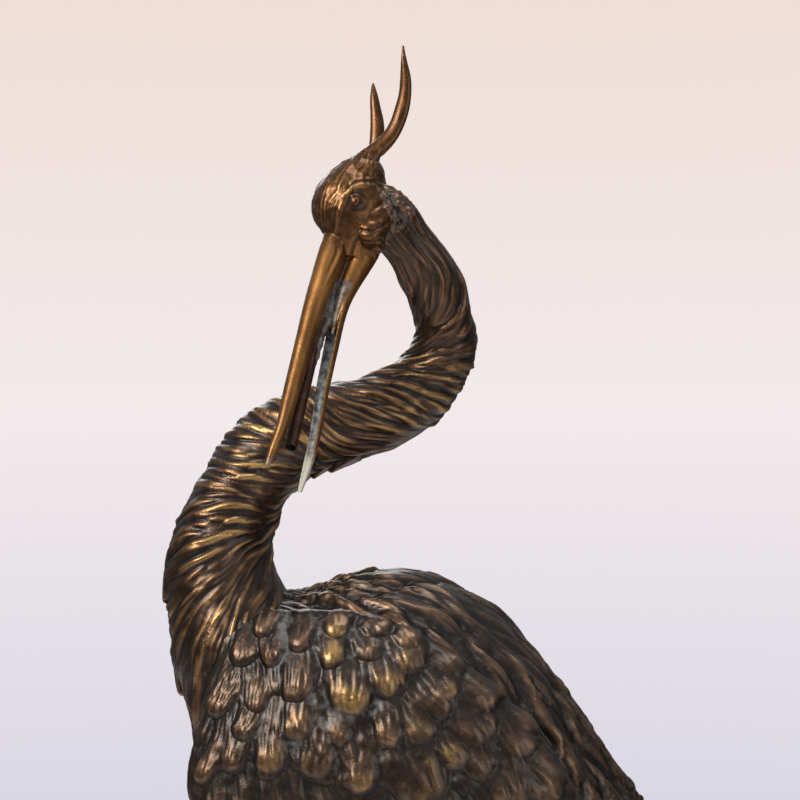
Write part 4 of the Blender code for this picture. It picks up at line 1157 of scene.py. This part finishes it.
def build_pipe(mat):
    a, b = np.array(PIPE_FROM, float) * MM, np.array(PIPE_TO, float) * MM
    ax = (b - a) / np.linalg.norm(b - a)
    n = np.cross(ax, [1, 0, 0])
    n /= np.linalg.norm(n)
    m = np.cross(ax, n)
    L = np.linalg.norm(b - a)
    R, r = PIPE_R * MM, BORE_R * MM
    prof = [(0.0, 0.0), (0.0, R)] + [(x, R) for x in np.linspace(0.004, L - 0.0006, 44)] + [(L - 0.0003, R - 0.0001), (L, R - 0.0004), (L, r + 0.0004), (L - 0.0003, r), (L - 0.02, r), (0.02, r), (0.02, 0.0)]
    k = 56
    V, F = [], []
    for s, q in prof:
        for j in range(k):
            t = 2 * math.pi * j / k
            V.append(a + ax * s + (n * math.cos(t) + m * math.sin(t)) * max(q, 1e-5))
    for i in range(len(prof) - 1):
        for j in range(k):
            c, d = i * k + j, i * k + (j + 1) % k
            F.append((c, d, d + k, c + k))
    V, F = np.array(V), np.array(F)
    along = (V - a) @ ax
    endward = (V - a - along[:, None] * ax)[:, 0]
    V -= ax * (np.where(along > L - 0.001, 0.34, 0) * endward)[:, None]
    # the inside of the bore is marked for painted shade: it is coloured near black
    inside = np.zeros(len(V))
    inside[(len(prof) - 4) * k:] = 1
    ob = mesh_object("water_pipe_tube", V, F, mat, {"bore": inside})
    return ob


def pipe_copper():
    m, nt, b = node_group_start("pipe_copper")
    co = new(nt, "ShaderNodeTexCoord").outputs["Object"]
    n = noise(nt, 70.0, 5, 0.6, co)
    col = ramp(nt, n, [(0.3, (0.022, 0.014, 0.011)), (0.55, (0.075, 0.036, 0.022)), (0.8, (0.16, 0.085, 0.05))])
    # painted shade: the inside of the bore is coloured near black
    col = mix(nt, attr(nt, "bore"), col, (0.004, 0.0035, 0.003))
    link(nt, col, b.inputs["Base Color"])
    b.inputs["Metallic"].default_value = 0.75
    link(nt, remap(nt, n, 0.3, 0.8, 0.50, 0.36), b.inputs["Roughness"])
    return m


def build_base(mat):
    prof = [(0.0, 0.0)] + [(x, 0.0) for x in np.linspace(0.1, 0.975, 6)] + [(1.0, 0.0015), (1.0, 0.006)]
    H, bev = BASE_HEIGHT, 0.008
    rx, ry = BASE_WIDTH / 2, BASE_LENGTH / 2
    k = 160
    rings = [(0.0, 0.0, 0.0), (0.5, 0.0, 0.0), (0.0, -0.002, 0.0), (0.0, -0.0006, 0.0006), (0.0, 0.0, 0.002)]
    V = []
    def ring(inset, z):
        for j in range(k):
            t = 2 * math.pi * j / k
            V.append(((rx + inset) * math.cos(t), (ry + inset) * math.sin(t), z))
    ring(-rx * 0.999, 0.0)
    ring(-0.08, 0.0)
    ring(-0.003, 0.0)
    ring(-0.0008, 0.0008)
    for z in np.linspace(0.003, H - bev, 12):
        ring(0.0, z)
    for a in np.linspace(0.15, math.pi / 2, 6):
        ring(-bev * (1 - math.cos(a)), H - bev + bev * math.sin(a))
    for f in np.linspace(0.96, 0.002, 40):
        for j in range(k):
            t = 2 * math.pi * j / k
            V.append(((rx - bev) * f * math.cos(t), (ry - bev) * f * math.sin(t), H))
    V = np.array(V)
    n = len(V) // k
    top = (V[:, 2] > H - 1e-5)
    rr = np.hypot(V[:, 0] / rx, V[:, 1] / ry)
    # cast earth: low ripples and small clods, fading out towards the rim
    h = 0.0011 * value_noise(V, 0.035, 101) + 0.0007 * value_noise(V, 0.014, 102) + 0.0004 * value_noise(V, 0.006, 103)
    V[:, 2] += np.where(top, (h - 0.0016) * smooth01((0.97 - rr) / 0.1), 0)
    side = ~top & (V[:, 2] > 0.002)
    dirn = V[:, :2] / (np.linalg.norm(V[:, :2], axis=1)[:, None] + 1e-9)
    V[:, :2] += np.where(side, 0.0006 * value_noise(V, 0.02, 104) - 0.0005, 0)[:, None] * dirn
    i, j = np.arange(n - 1)[:, None] * k, np.arange(k)[None]
    a, b = (i + j).ravel(), (i + (j + 1) % k).ravel()
    F = np.array([a, b, b + k, a + k]).T
    ridge = np.where(top, np.clip(h / 0.0011, -1, 1), np.where(rr > 0.955, 0.45, -0.1))
    return mesh_object("base_casting", V, F, mat, {"ridge": ridge * 0.7, "gold_and_highlight": np.full(len(V), 0.05), "dust": np.full(len(V), 0.08)})


# ------------------------------------------------------------------ put together
CAST = bronze("bronze_patina")
DULL = bronze("bronze_dull", 0.85, 0.4, [
    (0.10, (0.024, 0.0185, 0.0150)), (0.40, (0.045, 0.032, 0.0240)), (0.62, (0.080, 0.052, 0.036)),
    (0.80, (0.128, 0.078, 0.049)), (0.98, (0.20, 0.116, 0.066)),
])
HEAD = head_bronze()
made = []
made += build_neck(CAST)
made.append(build_body(DULL))
made += build_wing(DULL)
made.append(build_head(HEAD))
for side in (1, -1):
    made += build_leg(side, CAST)
for k in range(-3, 4):
    made.append(build_vane("tail_%d" % (k + 4), (14 * k, 215, 505 - 4 * abs(k)), (19 * k, 378 - 9 * abs(k), 384 + 3 * abs(k)), 32, 12, 0, CAST))
for side in (1, -1):
    for k in range(8):
        u = k / 7
        made.append(build_vane("flight_%s_%d" % ("left" if side > 0 else "right", k + 1), ((100 - 36 * u) * side, 70 + 60 * u, 520 + 70 * u),
                               ((62 - 14 * u) * side, 290 + 66 * u, 372 + 28 * u), 30, 11, 10 * side, CAST))
pipe = build_pipe(pipe_copper())
base = build_base(bronze("bronze_base", 0.8, 0.5, [
    (0.10, (0.026, 0.019, 0.0145)), (0.45, (0.046, 0.031, 0.0215)), (0.75, (0.078, 0.048, 0.030)), (0.98, (0.13, 0.077, 0.043)),
]))

for ob in made:
    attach(ob, "root")
    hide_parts("crane")
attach(pipe, "root")
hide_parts("water_pipe")
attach(base, "root")
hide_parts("base")


# ------------------------------------------------------------------ floor, light and camera
def build_floor():
    n, k, R = 24, 96, 4.0
    V = [(R * (i / (n - 1)) * math.cos(2 * math.pi * j / k), R * (i / (n - 1)) * math.sin(2 * math.pi * j / k), -0.0004) for i in range(n) for j in range(k)]
    i, j = np.arange(n - 1)[:, None] * k, np.arange(k)[None]
    a, b = (i + j).ravel(), (i + (j + 1) % k).ravel()
    m, nt, bs = node_group_start("floor")
    bs.inputs["Base Color"].default_value = (0.80, 0.78, 0.79, 1)
    bs.inputs["Roughness"].default_value = 0.9
    co = new(nt, "ShaderNodeTexCoord").outputs["Object"]
    ln = new(nt, "ShaderNodeVectorMath", operation="LENGTH")
    link(nt, co, ln.inputs[0])
    link(nt, remap(nt, ln.outputs["Value"], 1.2, 3.6, 1.0, 0.0), bs.inputs["Alpha"])
    return mesh_object("floor", np.array(V), np.array([a, b, b + k, a + k]).T, m)


floor = build_floor()

world = bpy.data.worlds.new("world")
bpy.context.scene.world = world
world.use_nodes = True
nt = world.node_tree
bg = nt.nodes["Background"]
co = new(nt, "ShaderNodeTexCoord").outputs["Generated"]
sep = new(nt, "ShaderNodeSeparateXYZ")
link(nt, co, sep.inputs[0])
height = remap(nt, sep.outputs["Z"], -0.25, 0.25, smooth=False)
back = ramp(nt, height, [(0.0, (0.68, 0.67, 0.77)), (0.48, (0.885, 0.820, 0.832)), (0.95, (0.863, 0.735, 0.675))])
around = mix(nt, remap(nt, sep.outputs["Z"], -0.3, 0.9), (0.090, 0.080, 0.076), (0.46, 0.49, 0.54))
lp = new(nt, "ShaderNodeLightPath").outputs["Is Camera Ray"]
link(nt, mix(nt, lp, around, back), bg.inputs["Color"])
bg.inputs["Strength"].default_value = 1.0


def area(name, loc, target, size, power, color):
    li = bpy.data.lights.new(name, "AREA")
    li.shape, li.size, li.energy, li.color = "DISK", size, power, color
    ob = bpy.data.objects.new(name, li)
    ob.location = loc
    ob.rotation_euler = (Vector(target) - Vector(loc)).to_track_quat("-Z", "Y").to_euler()
    bpy.context.scene.collection.objects.link(ob)
    return ob


area("key", (2.3, -2.3, 2.7), (0, -0.05, 1.0), 1.3, 82, (1.0, 0.975, 0.945))
area("fill", (2.4, 1.6, 1.2), (0, 0, 0.9), 1.8, 14, (0.90, 0.94, 1.0))
area("top", (0.4, 0.2, 3.6), (0, 0, 0.8), 1.6, 30, (0.93, 0.96, 1.0))
area("back", (-2.4, -0.6, 2.2), (0, 0, 0.9), 1.8, 22, (0.95, 0.97, 1.0))

cam = bpy.data.cameras.new("camera")
cam.sensor_width = 36.0
cam.lens = FOCAL / 800 * 36.0
cam_ob = bpy.data.objects.new("camera", cam)
cam_ob.location = tuple(CAM)
cam_ob.rotation_euler = (math.pi / 2, 0, math.pi / 2)
bpy.context.scene.collection.objects.link(cam_ob)
bpy.context.scene.camera = cam_ob
bpy.context.scene.view_settings.view_transform = "Standard"

total = sum(sum(len(p.vertices) - 2 for p in o.data.polygons) for o in made)
print("TRIANGLES", total, {o.name: sum(len(p.vertices) - 2 for p in o.data.polygons) for o in made if len(o.data.polygons) > 20000})
bpy.context.view_layer.update()
